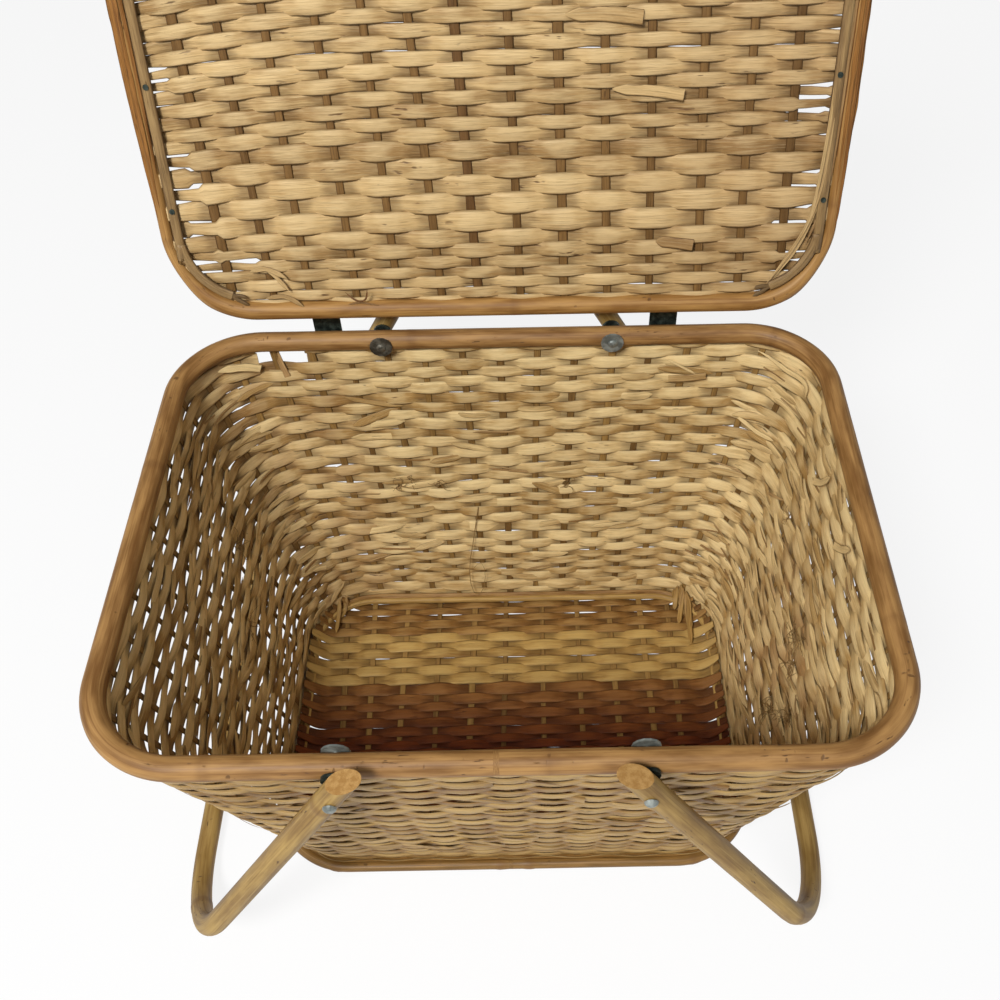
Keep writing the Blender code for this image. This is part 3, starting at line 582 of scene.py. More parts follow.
def wallRows(settings):
    rng = random.Random(settings["seed"])
    stakes, heights = wallSizes["stakes"], settings["heights"]
    lines = []
    for index, (height, pitch) in enumerate(zip(heights, rowPitches(heights))):
        row = len(heights) - 1 - index
        girth = 4 * (0.72 + 0.28 * height / heights[0]) * wallSizes["topMarks"][-1]
        cuts = sorted(rng.sample(range(stakes), rng.choice((1, 2))))
        runs = [(a - 0.7, b + 0.7) for a, b in zip(cuts, cuts[1:] + [cuts[0] + stakes])]
        if index < settings["brokenRows"]:
            runs = [(settings["brokenTo"], settings["brokenFrom"] + stakes)]
        for start, stop in runs:
            tag, tone = rng.random(), rng.gauss(0.5, 0.22)
            wide, up = rng.uniform(0.92, 1.1) * pitch * mm * settings["cover"], rng.gauss(0,
                settings["rowShift"])
            spots, wides, shades = [], [], []
            turn = rng.uniform(0, 2 * pi)
            count = int((stop - start) * settings["pointsPerStake"])
            for step in range(count + 1):
                stake = start + (stop - start) * step / count
                share = (stake + wallSizes["firstStake"]) / stakes
                level = height * mm + up
                place, out, lift = wallSpot(share, level + wallShift(share, level, settings["ripple"]))
                tail = max(0.0, stake - (stop - 1.4))
                shift = tail * 0.9 * mm + (settings["footShift"] if height < 8 else 0)
                spots.append((place + out * shift, out, lift, share * girth, stake + row))
                wides.append(wide * wallWidth(share, level, settings) * (0.92 if height < 8 else 1.0))
                shades.append(wallShadeAndStain(share, level, sin(stake * 2.3 + turn), settings))
            lines.append((row, strandLine(spots, tag=tag, tone=tone, shade=shades, wide=wides,
                give=0.6 if height < 20 else 1.0)))
    return lines


def wallStakes(settings):
    rng = random.Random(settings["seed"])
    w = wallSizes
    lines = []
    for stake in range(w["stakes"]):
        tag, tone, sway = rng.random(), rng.gauss(0.5, 0.2), rng.gauss(0, settings["sway"])
        spots = []
        for step in range(settings["steps"] + 1):
            rise = step / settings["steps"]
            place, out, lift = wallSpot((stake + w["firstStake"] + sway * sin(rise * pi)) / w["stakes"],
                w["low"] + 0.5 * mm + rise * (w["high"] - w["low"]))
            spots.append((place, out, out.cross(lift), place.z, 0.0))
        lines.append(strandLine(spots, tag=tag, tone=tone, wide=settings["width"] * rng.uniform(0.85,
            1.15), give=0.0))
    return lines


flatStrip = {"wave": 0.0, "pinch": 0.0, "slant": 0.0}
stakeSettings = dict(flatStrip, steps=40, width=4.6 * mm, thickness=1.5 * mm, wander=1.0 * mm, tilt=0.1,
    ragged=0.25, sway=0.05, seed=23)


def weaveStrands(name, lines, settings, seed, finish, body, *nodes):
    values = {label: settings[label.lower()] for label in strandInputs}
    made = strands.grow(name, guideMesh(name + "Lines", lines), dict(values, Seed=seed * 1.0), finish)
    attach(made, body)
    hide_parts(*nodes)
    print(name, "woven", len(made.data.polygons))


wallLines = wallRows(wallWeave)
half = len(wallWeave["heights"]) // 2
weaveStrands("wallWeaversLow", [line for row, line in wallLines if row < half], wallWeave, 1, wallCane,
    "basket", "wall_weave")
weaveStrands("wallWeaversHigh", [line for row, line in wallLines if row >= half], wallWeave, 1, wallCane,
    "basket", "wall_weave")
weaveStrands("wallStakes", wallStakes(stakeSettings), stakeSettings, 2, stakeCane, "basket", "wall_weave")


def smoothSpot(marks, part):
    # a place on the smooth curve through the marks, at a part of its length
    spot = part * (len(marks) - 1)
    index = min(int(spot), len(marks) - 2)
    a, b, c, d = (np.array(marks[min(max(index + k, 0), len(marks) - 1)], dtype=float) for k in (-1, 0, 1,
        2))
    u = spot - index
    return 0.5 * (2 * b + (c - a) * u + (2 * a - 5 * b + 4 * c - d) * u ** 2 + (3 * b - a - 3 * c + d)
        * u ** 3)


def onWall(mark):
    # share round the wall, height and depth inwards in millimetres
    place, out, lift = wallSpot(mark[0], mark[1] * mm)
    return place - out * mark[2] * mm, out


def onLid(mark):
    # across, back and depth inwards in millimetres, on the closed lid
    return openLid(Vector((mark[0] * mm, mark[1] * mm, (244.8 - mark[2]) * mm))), openWay((0, 0, 1))


def onBase(mark):
    return Vector(mark) * mm, Vector((0, 0, 1))


def ribbon(marks, put, wide, tone, shade=0.0, tips=(1, 1), steps=12, tag=0.5):
    # a strip of split cane on a smooth curve through the marks, pointed at the ends that tips names
    placed = [put(smoothSpot(marks, step / steps)) for step in range(steps + 1)]
    spots, wides, length = [], [], 0.0
    for step, (place, out) in enumerate(placed):
        ahead = placed[min(step + 1, steps)][0] - placed[max(step - 1, 0)][0]
        length += (place - placed[max(step - 1, 0)][0]).length
        spots.append((place, out, Vector(out).cross(ahead).normalized(), length + tag, 0.0))
        first, last = step / steps, 1 - step / steps
        point = (min(1.0, 0.12 + 4 * first) if tips[0] else 1.0) * (min(1.0,
            0.12 + 4 * last) if tips[1] else 1.0)
        wides.append(wide * mm * point)
    return strandLine(spots, tag=tag, tone=tone, shade=shade, wide=wides, give=0.0)


endSettings = dict(flatStrip, thickness=1.1 * mm, wander=1.4 * mm, tilt=0.4, ragged=0.5, seed=71,
    zones=((0.145, 0.375, 14, 214, 190, 1), (0.625, 0.86, 14, 214, 150, 1), (0.4, 0.6, 20, 215, 46, 1),
    (0.86, 1.14, 30, 205, 60, -1)))


def wallEnds(settings):
    # spliced ends and splinters that lie on the weave: from, to, low, high, how many, inside or outside
    rng = random.Random(settings["seed"])
    lines = []
    for first, last, low, high, count, side in settings["zones"]:
        for _ in range(count):
            share, height = rng.uniform(first, last), rng.uniform(low, high)
            span, rise = rng.uniform(0.009, 0.017), rng.gauss(0, 2.2)
            thin = rng.random() < 0.3
            deep = rng.uniform(1.7, 2.5) * side
            tip = rng.choice((0.4, 0.6, 3.6)) * side
            marks = ((share - span, height - rise, 0.4 * side), (share, height, deep),
                (share + span, height + rise, tip))
            wide = rng.uniform(1.0, 2.2) if thin else rng.uniform(4.0, 6.6)
            lines.append(ribbon(marks, onWall, wide, rng.gauss(0.35 if thin else 0.55, 0.2),
                0.4 if thin else 0.0, tag=rng.random()))
    return lines


looseMarks = ((((0.6435, 221, 5), (0.634, 219, 6), (0.6275, 217, 6), (0.6213, 214, 4.5)), 6.0, 0.9, 0.0,
    (1, 0)), (((0.6093, 206, 2), (0.6105, 213, 1), (0.612, 224, -1)), 4.6, 0.4, 0.5, (0, 0)),
    (((0.3745, 221, 4), (0.3565, 216, 7), (0.344, 217, 7), (0.3389, 215, 6), (0.337, 209, 5)), 3.6, 0.8,
    0.0, (1, 1)), (((0.4167, 200, 4), (0.407, 201, 5), (0.398, 202, 4.5)), 5.4, 0.3, 0.2, (0, 0)),
    (((0.4194, 214, 2), (0.411, 209, 4), (0.4037, 204, 5)), 1.8, 0.8, 0.0, (1, 1)),
    (((0.3759, 171, 3), (0.3583, 166, 6), (0.3435, 168, 6)), 3.4, 0.9, 0.0, (1, 1)),
    (((0.295, 190, 3), (0.287, 200, 4), (0.2806, 213, 6)), 5.0, 0.8, 0.0, (0, 1)),
    (((0.252, 196, 3), (0.245, 204, 4), (0.238, 215, 6)), 5.0, 0.8, 0.0, (0, 1)))
hairMarks = (((0.5194, 94, 2.5), (0.5241, 66, 5), (0.5287, 40, 6), (0.529, 20, 6), (0.5255, 11, 6),
    (0.5205, 18, 6), (0.5185, 34, 6), (0.521, 44, 6), (0.5265, 36, 4)),)
tuftSettings = dict(places=((0.225, 118, 16, 16), (0.215, 78, 14, 14), (0.19, 60, 10, 12),
    (0.5648, 116, 9, 9), (0.5575, 117, 7, 8), (0.5407, 116, 8, 8), (0.4639, 114, 9, 9),
    (0.2315, 134, 16, 13), (0.24, 128, 9, 12), (0.1991, 100, 14, 12), (0.205, 92, 8, 10),
    (0.735, 100, 10, 14), (0.70, 130, 10, 14), (0.3, 150, 6, 10)), radius=0.36 * mm, seed=83)


def tuftLines(settings):
    # frayed fibres that curl off the weave: share, height, how many, length
    rng = random.Random(settings["seed"])
    lines = [tuple(marks) for marks in hairMarks]
    for share, height, count, length in settings["places"]:
        for _ in range(count):
            turn, bend = rng.uniform(0, 2 * pi), rng.gauss(0, 0.9)
            long = length * rng.uniform(0.5, 1.2)
            marks = [(share + rng.gauss(0, 0.001), height + rng.gauss(0, 2), 1.5)]
            for step in range(1, 4):
                turn += bend
                across, up, _ = marks[-1]
                marks.append((across + long / 3 * cos(turn) / 1250, up + long / 3 * sin(turn),
                    2 + 1.6 * step * rng.random()))
            lines.append(tuple(marks))
    return lines


def fibre(marks, steps=14):
    count = steps + 1
    placed = [onWall(smoothSpot(marks, step / steps)) for step in range(count)]
    outs = [tuple(out) for place, out in placed]
    return {"points": [place for place, out in placed], "carried": {"out": outs,
        "along": [0.01 * step for step in range(count)], "tag": [0.3] * count, "tone": [0.7] * count,
        "shade": [0.0] * count, "wide": [1.0 - 0.6 * step / steps for step in range(count)]}}


weaveStrands("wallSplices", wallEnds(endSettings), endSettings, 4, wallCane, "basket", "wall_weave")
wallLoose = [ribbon(marks, onWall, wide, tone, shade, tips, 20)
             for marks, wide, tone, shade, tips in looseMarks]
weaveStrands("wallLooseEnds", wallLoose, dict(endSettings, tilt=0.1, ragged=0.2, wander=0.4 * mm), 5,
    wallCane, "basket", "wall_weave")
print("walls woven")


def matHalf(v, halfX, halfY, corner):
    # half the width of a rounded rectangle at a depth v
    over = abs(v) - (halfY - corner)
    return halfX if over <= 0 else halfX - corner + sqrt(max(corner ** 2 - over ** 2, 0.0))


def stakePlaces(settings, v):
    # where the stakes stand at a depth v, from their places at two depths, with one more at each end
    (lowV, lowX), (highV, highX) = settings["stakes"]
    part = (v / mm - lowV) / (highV - lowV)
    places = [(a + (b - a) * part) * mm for a, b in zip(lowX, highX)]
    return [places[0] - 26 * mm] + places + [places[-1] + 26 * mm]


def nearAny(x, y, places, across=10, along=6):
    return any(abs(x - placeX) < across and abs(y - placeY) < along for placeX, placeY in places)


def matRows(settings, put, way):
    # rows run along X on a rounded rectangle; put and way take points and directions to their place
    rng = random.Random(settings["seed"])
    size = (settings["halfX"], settings["halfY"], settings["corner"])
    out, lift = way((0, 0, 1)), way((0, 1, 0))
    lines = []
    for index, (centre, pitch) in enumerate(zip(settings["rows"], rowPitches(settings["rows"]))):
        v = centre * mm + rng.gauss(0, settings["rowShift"])
        reach = matHalf(v, *size)
        steps = int(2 * reach / (25 * mm) * settings["pointsPerStake"])
        start = rng.random()
        spots, wides, shades = [], [], []
        wide = pitch * mm * settings["cover"] * rng.uniform(0.93, 1.08)
        tone, shade = settings["rowLook"](index, rng)
        for step in range(steps + 1):
            x = reach * (2 * step / steps - 1)
            y = v + settings["bend"](x, v)
            places = stakePlaces(settings, y)
            phase = np.interp(x, places, range(-1, len(places) - 1)) + index + settings["firstRow"]
            over = max(0.0, 1 - (reach - abs(x)) / settings["endLength"])
            spots.append((put((x, y, settings["endRise"] * over ** 1.5)), out, lift, start + x, phase))
            thin = nearAny(x / mm, y / mm, settings["thinPlaces"])
            wides.append(wide * (1 - settings["endTaper"] * over ** 2) * (0.6 if thin else 1.0))
            shades.append(shade + settings["sideShade"] * easedStep(x, 30 * mm, 190 * mm))
        lines.append(strandLine(spots, tag=rng.random(), tone=tone, shade=shades, wide=wides))
    return lines


def matStakes(settings, put, way):
    rng = random.Random(settings["seed"] + 1)
    halfX, halfY, corner = settings["halfX"], settings["halfY"], settings["corner"]
    out, lift = way((0, 0, 1)), way((1, 0, 0))
    lines = []
    for number in range(1, len(settings["stakes"][0][1]) + 1):
        start = rng.random()
        reach = matHalf(stakePlaces(settings, 0)[number], halfY, halfX, corner)
        spots = []
        for step in range(61):
            y = reach * (2 * step / 60 - 1)
            spots.append((put((stakePlaces(settings, y)[number], y, 0)), out, lift, start + y, 0.0))
        lines.append(strandLine(spots, tag=rng.random(), tone=rng.gauss(0.5, 0.18), give=0.0,
            shade=settings["stakeShade"].get(number, 0.0),
            wide=settings["stakeWidth"] * rng.uniform(0.85, 1.15)))
    return lines


def weaveMat(name, settings, put, way, finish, stakeFinish, body, node):
    weaveStrands(name + "Weavers", matRows(settings, put, way), settings, settings["seed"], finish, body,
        node)
    stakes = dict(settings, thickness=settings["stakeThickness"], tilt=0.1, wander=1.4 * mm, **flatStrip)
    weaveStrands(name + "Stakes", matStakes(settings, put, way), stakes, settings["seed"] + 3,
        stakeFinish, body, node)


def baseRowLook(row, rng):
    # mid brown rows at the back, then light straw ones, then dark orange brown ones towards the front,
    # partly stained cane and partly painted shadow of the front wall
    if row < 5:
        return rng.gauss(0.3, 0.1), 0.3
    if row < 11:
        return rng.gauss(0.75, 0.12), 0.0
    return rng.gauss(0.3, 0.1), min(0.95, 0.6 + 0.05 * (row - 11))


def lidBend(x, v):
    # the rows of the open lid's upper left sag towards its edge, less so near its front
    return min(0.0, x + 60 * mm) ** 2 * 0.8 * (0.5 - v / (300 * mm)) * easedStep(v, -148 * mm, -40 * mm)


baseWeave = dict(thinPlaces=(), endLength=14 * mm, endRise=12 * mm, endTaper=0.45, ragged=0.35,
    stakeShade={}, halfX=155 * mm, halfY=107.5 * mm, corner=45 * mm, firstRow=0, rows=(100.1, 94.7, 88.5,
    82.8, 76.2, 70.1, 62.3, 55.9, 47.7, 40.6, 32.6, 23.9, 15.2, 9.3, 3.3, -4.2, -11.6, -18.2,
    *(-23 - 6.8 * row for row in range(12)), -104), stakes=((-15, (-124.7, -105.7, -82.9, -57.3, -31.7,
    -6.9, 22.3, 50.8, 77.8, 103.3, 122.2)), (91, (-131.1, -109.6, -83.4, -58.1, -30.3, -5.8, 22.7, 50.3,
    75.6, 100, 122.1))), sideShade=0.0, pointsPerStake=8, cover=1.22, thickness=1.1 * mm, wave=0.9 * mm,
    pinch=0.08, wander=1.4 * mm, slant=0.2 * mm, tilt=0.06, rowShift=0.2 * mm, seed=31,
    stakeWidth=4.4 * mm, stakeThickness=1.2 * mm, bend=lambda x, v: 0.0, rowLook=baseRowLook)
lidWeave = dict(thinPlaces=((-184.8, 121), (-161.6, 120), (-190, 63), (-174, 66), (-188, 83),
    (-182, 103.5), (-195, 16), (185, 29), (180, 41), (184, 76), (179, 98), (184, 124)), endLength=26 * mm,
    endRise=0.0, endTaper=0.35, ragged=0.35, stakeShade={7: 0.35}, halfX=201.5 * mm, halfY=150 * mm,
    corner=45 * mm, firstRow=0, rows=(149.8, 144.5, 137.8, 131.2, 124.7, 117.5, 109.2, 98.6, 87.5, 76.6,
    66.5, 56, 47.9, 40.6, 33.3, 26.2, 19.1, 11.6, 5, -2.8, -9.8, -16.9, -23.9,
    *(-31.4 - 7.5 * row for row in range(16))), stakes=((-21, (-176.7, -152.7, -126.4, -98, -71.7, -46.5,
    -20.7, 9, 36.5, 62.9, 89.4, 119.1, 146.7, 172.2)), (142, (-171.3, -145.3, -122.5, -92.7, -66.1, -38.1,
    -14.6, 12.1, 40.1, 67.5, 94.3, 125, 150.6, 176.8))), sideShade=0.2, pointsPerStake=8, cover=1.2,
    thickness=1.4 * mm, wave=1.5 * mm, pinch=0.04, wander=1.8 * mm, slant=0.15 * mm, tilt=0.14,
    rowShift=0.2 * mm, seed=47, stakeWidth=5.4 * mm, stakeThickness=2.2 * mm, bend=lidBend,
    rowLook=lambda row, rng: (rng.gauss(0.55, 0.18), 0.0))
weaveMat("base", baseWeave, lambda p: Vector(p) + Vector((0, 0, 2.1 * mm)), Vector, baseCane, stakeCane,
    "basket", "base_weave")
weaveMat("lid", lidWeave, lambda p: openLid(Vector(p) + Vector((0, 0, 244.8 * mm))), openWay,
    lidCaneWeave, lidStakeCane, "lid", "lid_weave")


baseEdge = dict(flatStrip, thickness=1.2 * mm, wander=1.0 * mm, tilt=0.5, ragged=0.5, seed=61,
    strips=((153.6, 106.1, 44.1, 3.6, 6.5, 1.0), (153.2, 105.7, 43.7, 8.4, 5.0, 1.0),
    (157.0, 109.5, 47.5, 5.6, 6.0, 0.2)), leaves=((131, 97, 0.3835, 14, 5.0), (127, 90, 0.38, 18, 4.0),
    (134, 85, 0.376, 20, 5.0), (129, 76, 0.371, 18, 4.0), (138, 70, 0.366, 16, 5.0),
    (137, 58, 0.361, 14, 4.0), (-135, 88, 0.624, 14, 4.0), (-138, 74, 0.634, 15, 3.5)))


def baseEdgeLines(settings):
    # strips that close the seam between base and wall, and pointed ends in the base's back corners
    lines = []
    for halfX, halfY, corner, height, wide, lean in settings["strips"]:
        laid, girth = loopShares(halfX, halfY, corner)
        spots = []
        for step in range(301):
            (x, y), face = loopSpot((step / 300 + 1e-9) % 1.0, halfX, halfY, corner, laid)
            spots.append((Vector((x, y, height)) * mm, Vector((-face[0] * lean, -face[1] * lean,
                1)).normalized(), Vector((face[0], face[1], lean)).normalized(), step / 300 * girth * mm,
                0.0))
        lines.append(strandLine(spots, tag=0.4, tone=0.4, wide=wide * mm, give=0.0, shade=0.25))
    for x, y, share, height, wide in settings["leaves"]:
        place, out, lift = wallSpot(share, height * mm)
        top = (place - out * 3.5 * mm) / mm
        foot = Vector((x, y, 6.5))
        middle = top.lerp(foot, 0.5) + Vector((0, 0, -3))
        lines.append(ribbon((tuple(top), tuple(middle), tuple(foot)), onBase, wide, 0.6, 0.1, (1, 1), 14,
            share))
    return lines


weaveStrands("baseEdgeStrips", baseEdgeLines(baseEdge), baseEdge, 9, baseCane, "basket", "base_weave")
barkSettings = dict(flatStrip, slot="lid_cane", thickness=0.8 * mm, wander=1.2 * mm, tilt=0.5, ragged=0.9,
    seed=91, turns=(12, 52, 92, 132), lidHalf=(204.9, 153.4), corner=48.4, reach=3.9)


def edgeMarks(side, turn, start, stop, settings):
    # marks along one end of the lid's pole, at a turn round it from its outer side to its inner face
    reach = settings["reach"]
    halfX, halfY = (half + reach * cos(radians(turn)) for half in settings["lidHalf"])
    corner = settings["corner"] + reach * cos(radians(turn))
    deep, marks = reach * sin(radians(turn)), []
    for step in range(13):
        v = start + (stop - start) * step / 12
        over = max(0.0, abs(v) - (halfY - corner))
        marks.append((side * (halfX - corner + sqrt(max(corner ** 2 - over ** 2, 0.0))), v, deep))
    return marks


def lidEdgeStrips(settings):
    rng = random.Random(settings["seed"])
    lines = []
    for side in (-1, 1):
        for turn in settings["turns"]:
            start, stop = rng.uniform(-140, -120), rng.uniform(60, 130)
            lines.append(ribbon(edgeMarks(side, turn, start, stop, settings), onLid,
                rng.uniform(2.6, 3.6), rng.gauss(0.5, 0.2), 0.0, (1, 1), 60, rng.random()))
    return lines


lidSliverMarks = ((((199, -120, 2), (199, -20, 4), (197, 70, 4), (188, 112, 4), (172, 138, 5)), 2.0, 0.7,
    0.0, (1, 1)), (((198, -70, 4), (197, 0, 5), (195, 80, 5), (184, 116, 5), (170, 139, 5)), 1.6, 0.8,
    0.2, (1, 1)), (((195, -30, 4), (195, 40, 5), (191, 95, 5), (181, 120, 5), (168, 141, 5)), 2.2, 0.6,
    0.0, (1, 1)), (((201, -100, 3), (201, 0, 3), (199, 80, 4), (190, 116, 4)), 2.4, 0.4, 0.4, (1, 1)),
    (((68, 23, 2.4), (90, 24, 3.2), (109, 26.5, 4)), 6.6, 0.8, 0.0, (1, 0)),
    (((97, 113.2, 2), (108, 114, 3), (120, 115.5, 4.2)), 7.6, 0.3, 0.25, (1, 0)),
    (((41, -16.4, 2.2), (62, -16.6, 3), (84, -14.7, 3.6)), 8.0, 0.5, 0.0, (1, 0)),
    (((-99, 142, 4), (-92, 147, 6), (-86, 146, 7), (-84, 139, 8)), 1.2, 0.2, 0.8, (1, 1)),
    (((-100, 152, 3.4), (-91, 149, 4.6), (-78, 151, 5)), 1.3, 0.3, 0.5, (1, 1)),
    (((-150, 124, 3), (-142, 130, 4), (-134, 140, 5)), 3.0, 0.6, 0.0, (1, 1)),
    (((-157, 128, 3), (-146, 126, 4), (-134, 132, 5)), 3.6, 0.6, 0.0, (1, 1)),
    (((-150, 146, 3), (-137, 144, 5), (-126, 151, 5)), 3.2, 0.4, 0.1, (1, 1)))
weaveStrands("lidEdgeBark", lidEdgeStrips(barkSettings), barkSettings, 6, barkCane, "lid", "lid_hoop")
lidLoose = [ribbon(marks, onLid, wide, tone, shade, tips, 24)
            for marks, wide, tone, shade, tips in lidSliverMarks]
weaveStrands("lidSlivers", lidLoose, dict(endSettings, tilt=0.2, ragged=0.3, wander=0.5 * mm), 7,
    lidCaneWeave, "lid", "lid_weave")
print("mats woven")


def hoopGuide(halfX, halfY, corner, height, spacing, put=Vector, way=Vector, tag=0.3, tone=0.5, slim=0.0):
    # slim thins the pole's two short sides and keeps their inner edge
    laid, girth = loopShares(halfX, halfY, corner)
    count = int(girth / spacing)
    points, outs, wides = [], [], []
    for step in range(count):
        (x, y), face = loopSpot((step / count + 1e-9) % 1.0, halfX, halfY, corner, laid)
        size = 1 - slim * easedStep(abs(face[0]), 0.5, 0.97)
        inset = (1 - size) * 4.8 * mm
        points.append(put((x - face[0] * inset, y - face[1] * inset, height)))
        outs.append(tuple(way((*face, 0))))
        wides.append(size)
    return {"points": points, "closed": True, "carried": {"out": outs,
        "along": [step / count * girth for step in range(count)], "tag": [tag] * count,
        "tone": [tone] * count, "wide": wides, "shade": [0.0] * count}}


def growPole(name, lines, values, finish, body, slot, *nodes):
    made = poles.grow(name, guideMesh(name + "Guide", lines), dict({"Sides": 20, "Uneven": 0.04,
        "Knot spacing": 0.24, "Knot swell": 0.01, "Knot start": 0.1, "Seed": 3.0}, **values), finish)
    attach(made, body)
    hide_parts(*nodes)
    return made


growPole("wallFibres", [fibre(marks) for marks in tuftLines(tuftSettings)],
    {"Radius": tuftSettings["radius"], "Sides": 5, "Knot swell": 0.0, "Uneven": 0.2}, fibreCane, "basket",
    "split_cane", "wall_weave")
growPole("rimPole", [hoopGuide(208.5 * mm, 155 * mm, 50.5 * mm, 232 * mm, 3 * mm)], {"Radius": 6.5 * mm},
    rimCane, "basket", "rim_cane", "rim_hoop")
growPole("footRod", [hoopGuide(161 * mm, 113.5 * mm, 51.5 * mm, 3.85 * mm, 3 * mm)],
    {"Radius": 3.5 * mm, "Sides": 14, "Knot swell": 0.1, "Knot spacing": 0.11}, rodCane, "basket",
    "brown_rod", "foot_hoop")
growPole("innerBaseRod", [hoopGuide(151 * mm, 103.5 * mm, 41.5 * mm, 6.3 * mm, 3 * mm)],
    {"Radius": 2.3 * mm, "Sides": 12, "Knot swell": 0.1, "Knot spacing": 0.13}, innerRodCane, "basket",
    "brown_rod", "inner_base_hoop")
growPole("lidPole", [hoopGuide(206.5 * mm, 155 * mm, 50 * mm, 244.9 * mm, 3 * mm, openLid, openWay,
    slim=0.36)], {"Radius": 6 * mm, "Knot start": 0.4}, lidPoleCane, "lid", "lid_cane", "lid_hoop")


handleSizes = dict(reach=258.52 * mm, bend=71 * mm, legY=170.4 * mm, stub=16 * mm, rest=radians(60.5),
    radius=6.6 * mm, pivots={-1: Vector((-80.5, 0, 232)) * mm, 1: Vector((72, 0, 232)) * mm},
    cut=radians(45), fade=12 * mm)


def handleGuide(side, sizes):
    # legs, bends and grip of a handle laid level, then swung down to the table
    reach, bend, legY = sizes["reach"], sizes["bend"], sizes["legY"]
    level = [Vector((-sizes["stub"], -legY, 0)), Vector((reach - bend, -legY, 0))]
    points = [level[0].lerp(level[1], step / 80) for step in range(81)]
    points += [Vector((reach - bend + bend * sin(a), -legY + bend - bend * cos(a), 0))
        for a in (pi / 2 * step / 36 for step in range(1, 37))]
    half = len(points)
    points += [Vector((reach, y, 0)) for y in np.linspace(-legY + bend, legY - bend, 70)[1:-1]]
    points += [Vector((p.x, -p.y, 0)) for p in reversed(points[:half])]
    turn = Matrix.Rotation(side * sizes["rest"], 4, "Y")
    mirror = Matrix.Diagonal((side, 1, 1, 1))
    placed = [sizes["pivots"][side] + turn @ mirror @ p for p in points]
    out = turn.to_3x3() @ Vector((0, 0, 1))
    lengths = np.cumsum([0.0] + [(b - a).length for a, b in zip(placed, placed[1:])])
    count = len(points)
    return {"points": placed, "carried": {"out": [tuple(out)] * count, "along": list(lengths),
        "tag": [0.2 + side * 0.1] * count, "tone": [0.5] * count, "wide": [1.0] * count,
        "shade": [0.0] * count}}


def cutHandleEnds(made, side, sizes):
    # both leg ends are sawn at a slant, and the cut faces show end grain
    turn = Matrix.Rotation(side * sizes["rest"], 3, "Y")
    level, shift = turn.transposed(), turn @ Vector((side, 0, 0))
    for vertex in made.data.vertices:
        spot = level @ (vertex.co - sizes["pivots"][side])
        near = max(0.0, 1 - (side * spot.x + sizes["stub"]) / sizes["fade"])
        vertex.co += shift * spot.z * tan(sizes["cut"]) * near
    made.data.materials.append(endGrain)
    for face in made.data.polygons:
        face.material_index = 1 if len(face.vertices) > 4 else 0


for label, side in (("left", -1), ("right", 1)):
    handlePole = growPole(label + "HandlePole", [handleGuide(side, handleSizes)],
        {"Radius": handleSizes["radius"], "Sides": 24, "Knot start": 0.3, "Knot swell": 0.04}, handleCane,
        label + "_handle", "handle_cane", "handle_" + label)
    cutHandleEnds(handlePole, side, handleSizes)


battenSettings = dict(flatStrip, slot="batten_cane", thickness=4.2 * mm, wander=0.9 * mm, tilt=0.25,
    ragged=0.3, seed=97, width=6.4, inset=9.5, deep=3.6, nailShares=(0.08, 0.42, 0.72),
    endSplit=(((0, 0), (1.4, 4), (1.8, 9)), ((0, 0), (-1.6, 5), (-2.8, 12))))


def battenMarks(side, settings):
    # down one short side of the lid, round both bends and a little way along its front
    inset, deep = settings["inset"], settings["deep"]
    halfX, halfY, corner = 206.5 - inset, 155 - inset, 50 - inset
    marks = []
    for along, start, stop in ((1, radians(70), 0), (-1, 0, -pi / 2)):
        for step in range(13):
            angle = start + (stop - start) * step / 12
            marks.append((side * (halfX - corner + corner * cos(angle)),
                along * (halfY - corner) + corner * sin(angle), deep))
    return marks + [(side * x, -halfY, deep) for x in (120, 80, 40, 0.5)]


def battenLines(settings):
    lines = []
    for side in (-1, 1):
        marks = battenMarks(side, settings)
        line = ribbon(marks, onLid, settings["width"], 0.5, 0.0, (0, 0), 150, 0.3 + side * 0.2)
        nails = [openLid(Vector((side * (206.5 - settings["inset"]), (1 - 2 * share) * 105, 240)) * mm)
            for share in settings["nailShares"]]
        line["carried"]["shade"] = [max(0.9 - 0.3 * min((point - nail).length for nail in nails) / mm,
            0.0) for point in line["points"]]
        lines.append(line)
        endX, endY = marks[0][0], marks[0][1]
        for prong in settings["endSplit"]:
            spots = [(endX - side * (dx * 0.5 + dy * 0.94), endY + dy * 0.34 - dx * 0.94,
                settings["deep"] + 0.6) for dx, dy in prong]
            lines.append(ribbon(spots, onLid, 2.8, 0.4, 0.35, (0, 1), 10, 0.7))
    return lines


weaveStrands("lidBattens", battenLines(battenSettings), battenSettings, 8, battenCane, "lid",
    "lid_batten_left", "lid_batten_right")

for name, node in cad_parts.items():
    looks = zinc if name.startswith(("pivot_rivet", "pivot_washer")) else darkSteel
    low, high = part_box(name)
    if looks is zinc and low[0] < 0 < low[1]:
        looks = tarnished
    for slot in node.material_slots:
        slot.material = looks
print("poles and fittings placed")


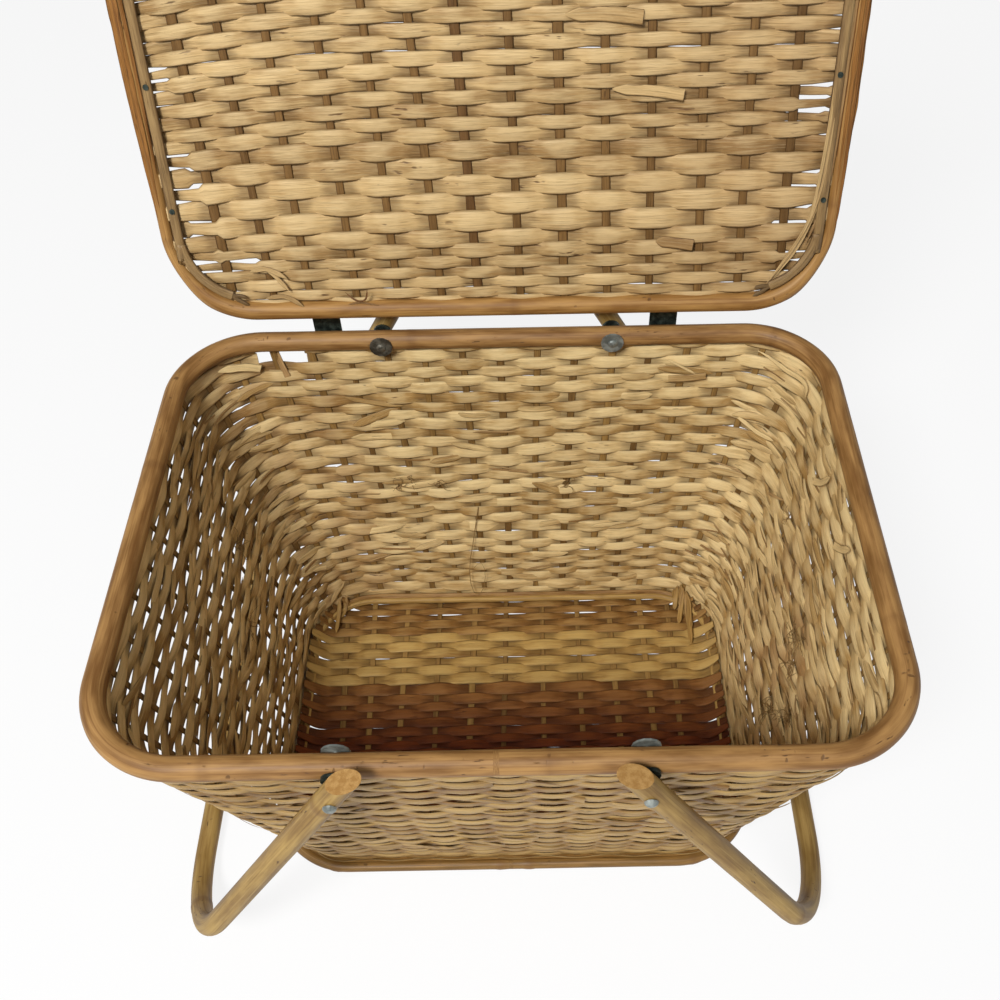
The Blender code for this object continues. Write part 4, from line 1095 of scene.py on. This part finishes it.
def paleStage():
    floorMesh = bpy.data.meshes.new("floor")
    floorMesh.from_pydata([(-8, -8, 0), (8, -8, 0), (8, 8, 0), (-8, 8, 0)], [], [(0, 1, 2, 3)])
    floor = bpy.data.objects.new("floor", floorMesh)
    bpy.context.scene.collection.objects.link(floor)
    f = Finish("paleFloor")
    f.plug({"Base Color": (0.9, 0.9, 0.9, 1.0), "Roughness": 0.8, "Specular IOR Level": 0.2})
    path = f.node("ShaderNodeLightPath")
    seen = path.maths("MAXIMUM", path, path.also("Is Glossy Ray"))
    seen = seen.maths("MAXIMUM", seen, path.also("Is Transmission Ray"))
    glow = f.node("ShaderNodeEmission", None, {"Color": (1, 1, 1, 1), "Strength": 1.0})
    mixed = f.node("ShaderNodeMixShader", None, {0: seen * 0.86, 1: Wire(f, f.shader.outputs[0]),
        2: glow})
    f.tree.links.new(mixed.socket, f.tree.nodes["Material Output"].inputs["Surface"])
    floorMesh.materials.append(f.material)
    world = bpy.data.worlds.new("studio")
    bpy.context.scene.world = world
    world.use_nodes = True
    w = Graph(world.node_tree)
    path = w.node("ShaderNodeLightPath")
    seen = path.maths("MAXIMUM", path, path.also("Is Transmission Ray"))
    back = world.node_tree.nodes["Background"]
    back.inputs["Color"].default_value = (1, 1, 1, 1)
    strength = 0.2 + seen * 0.8
    w.tree.links.new(strength.socket, back.inputs["Strength"])


def softBox(name, place, aim, size, watts):
    lamp = bpy.data.lights.new(name, "AREA")
    lamp.shape, lamp.size, lamp.energy = "DISK", size, watts
    box = bpy.data.objects.new(name, lamp)
    bpy.context.scene.collection.objects.link(box)
    box.location = place
    box.rotation_euler = (Vector(aim) - Vector(place)).to_track_quat("-Z", "Y").to_euler()


def photoCamera():
    view = {"place": (20.645 * mm, -401.394 * mm, 715.227 * mm), "yaw": 0.002, "pitch": 0.898,
        "roll": 0.017, "lens": 1.092886 * 36, "shift": (-0.03941, 0.03906)}
    yaw, pitch, roll = view["yaw"], view["pitch"], view["roll"]
    ahead = Vector((sin(yaw) * cos(pitch), cos(yaw) * cos(pitch), -sin(pitch)))
    right = Vector((cos(yaw), -sin(yaw), 0))
    down = ahead.cross(right)
    across, below = cos(roll) * right + sin(roll) * down, -sin(roll) * right + cos(roll) * down
    lens = bpy.data.cameras.new("photoCamera")
    lens.sensor_width, lens.lens = 36, view["lens"]
    lens.shift_x, lens.shift_y = view["shift"]
    lens.clip_start = 0.01
    camera = bpy.data.objects.new("photoCamera", lens)
    bpy.context.scene.collection.objects.link(camera)
    turn = Matrix((across, -below, -ahead)).transposed().to_4x4()
    camera.matrix_world = Matrix.Translation(view["place"]) @ turn
    bpy.context.scene.camera = camera


paleStage()
softBox("keySoftBox", (-0.62, -1.2, 1.8), (0, 0.05, 0.2), 0.6, 44)
softBox("fillSoftBox", (1.2, -0.9, 1.3), (0, 0, 0.2), 1.2, 2)
photoCamera()
bpy.context.scene.view_settings.view_transform = "Standard"
print("stage and camera set")
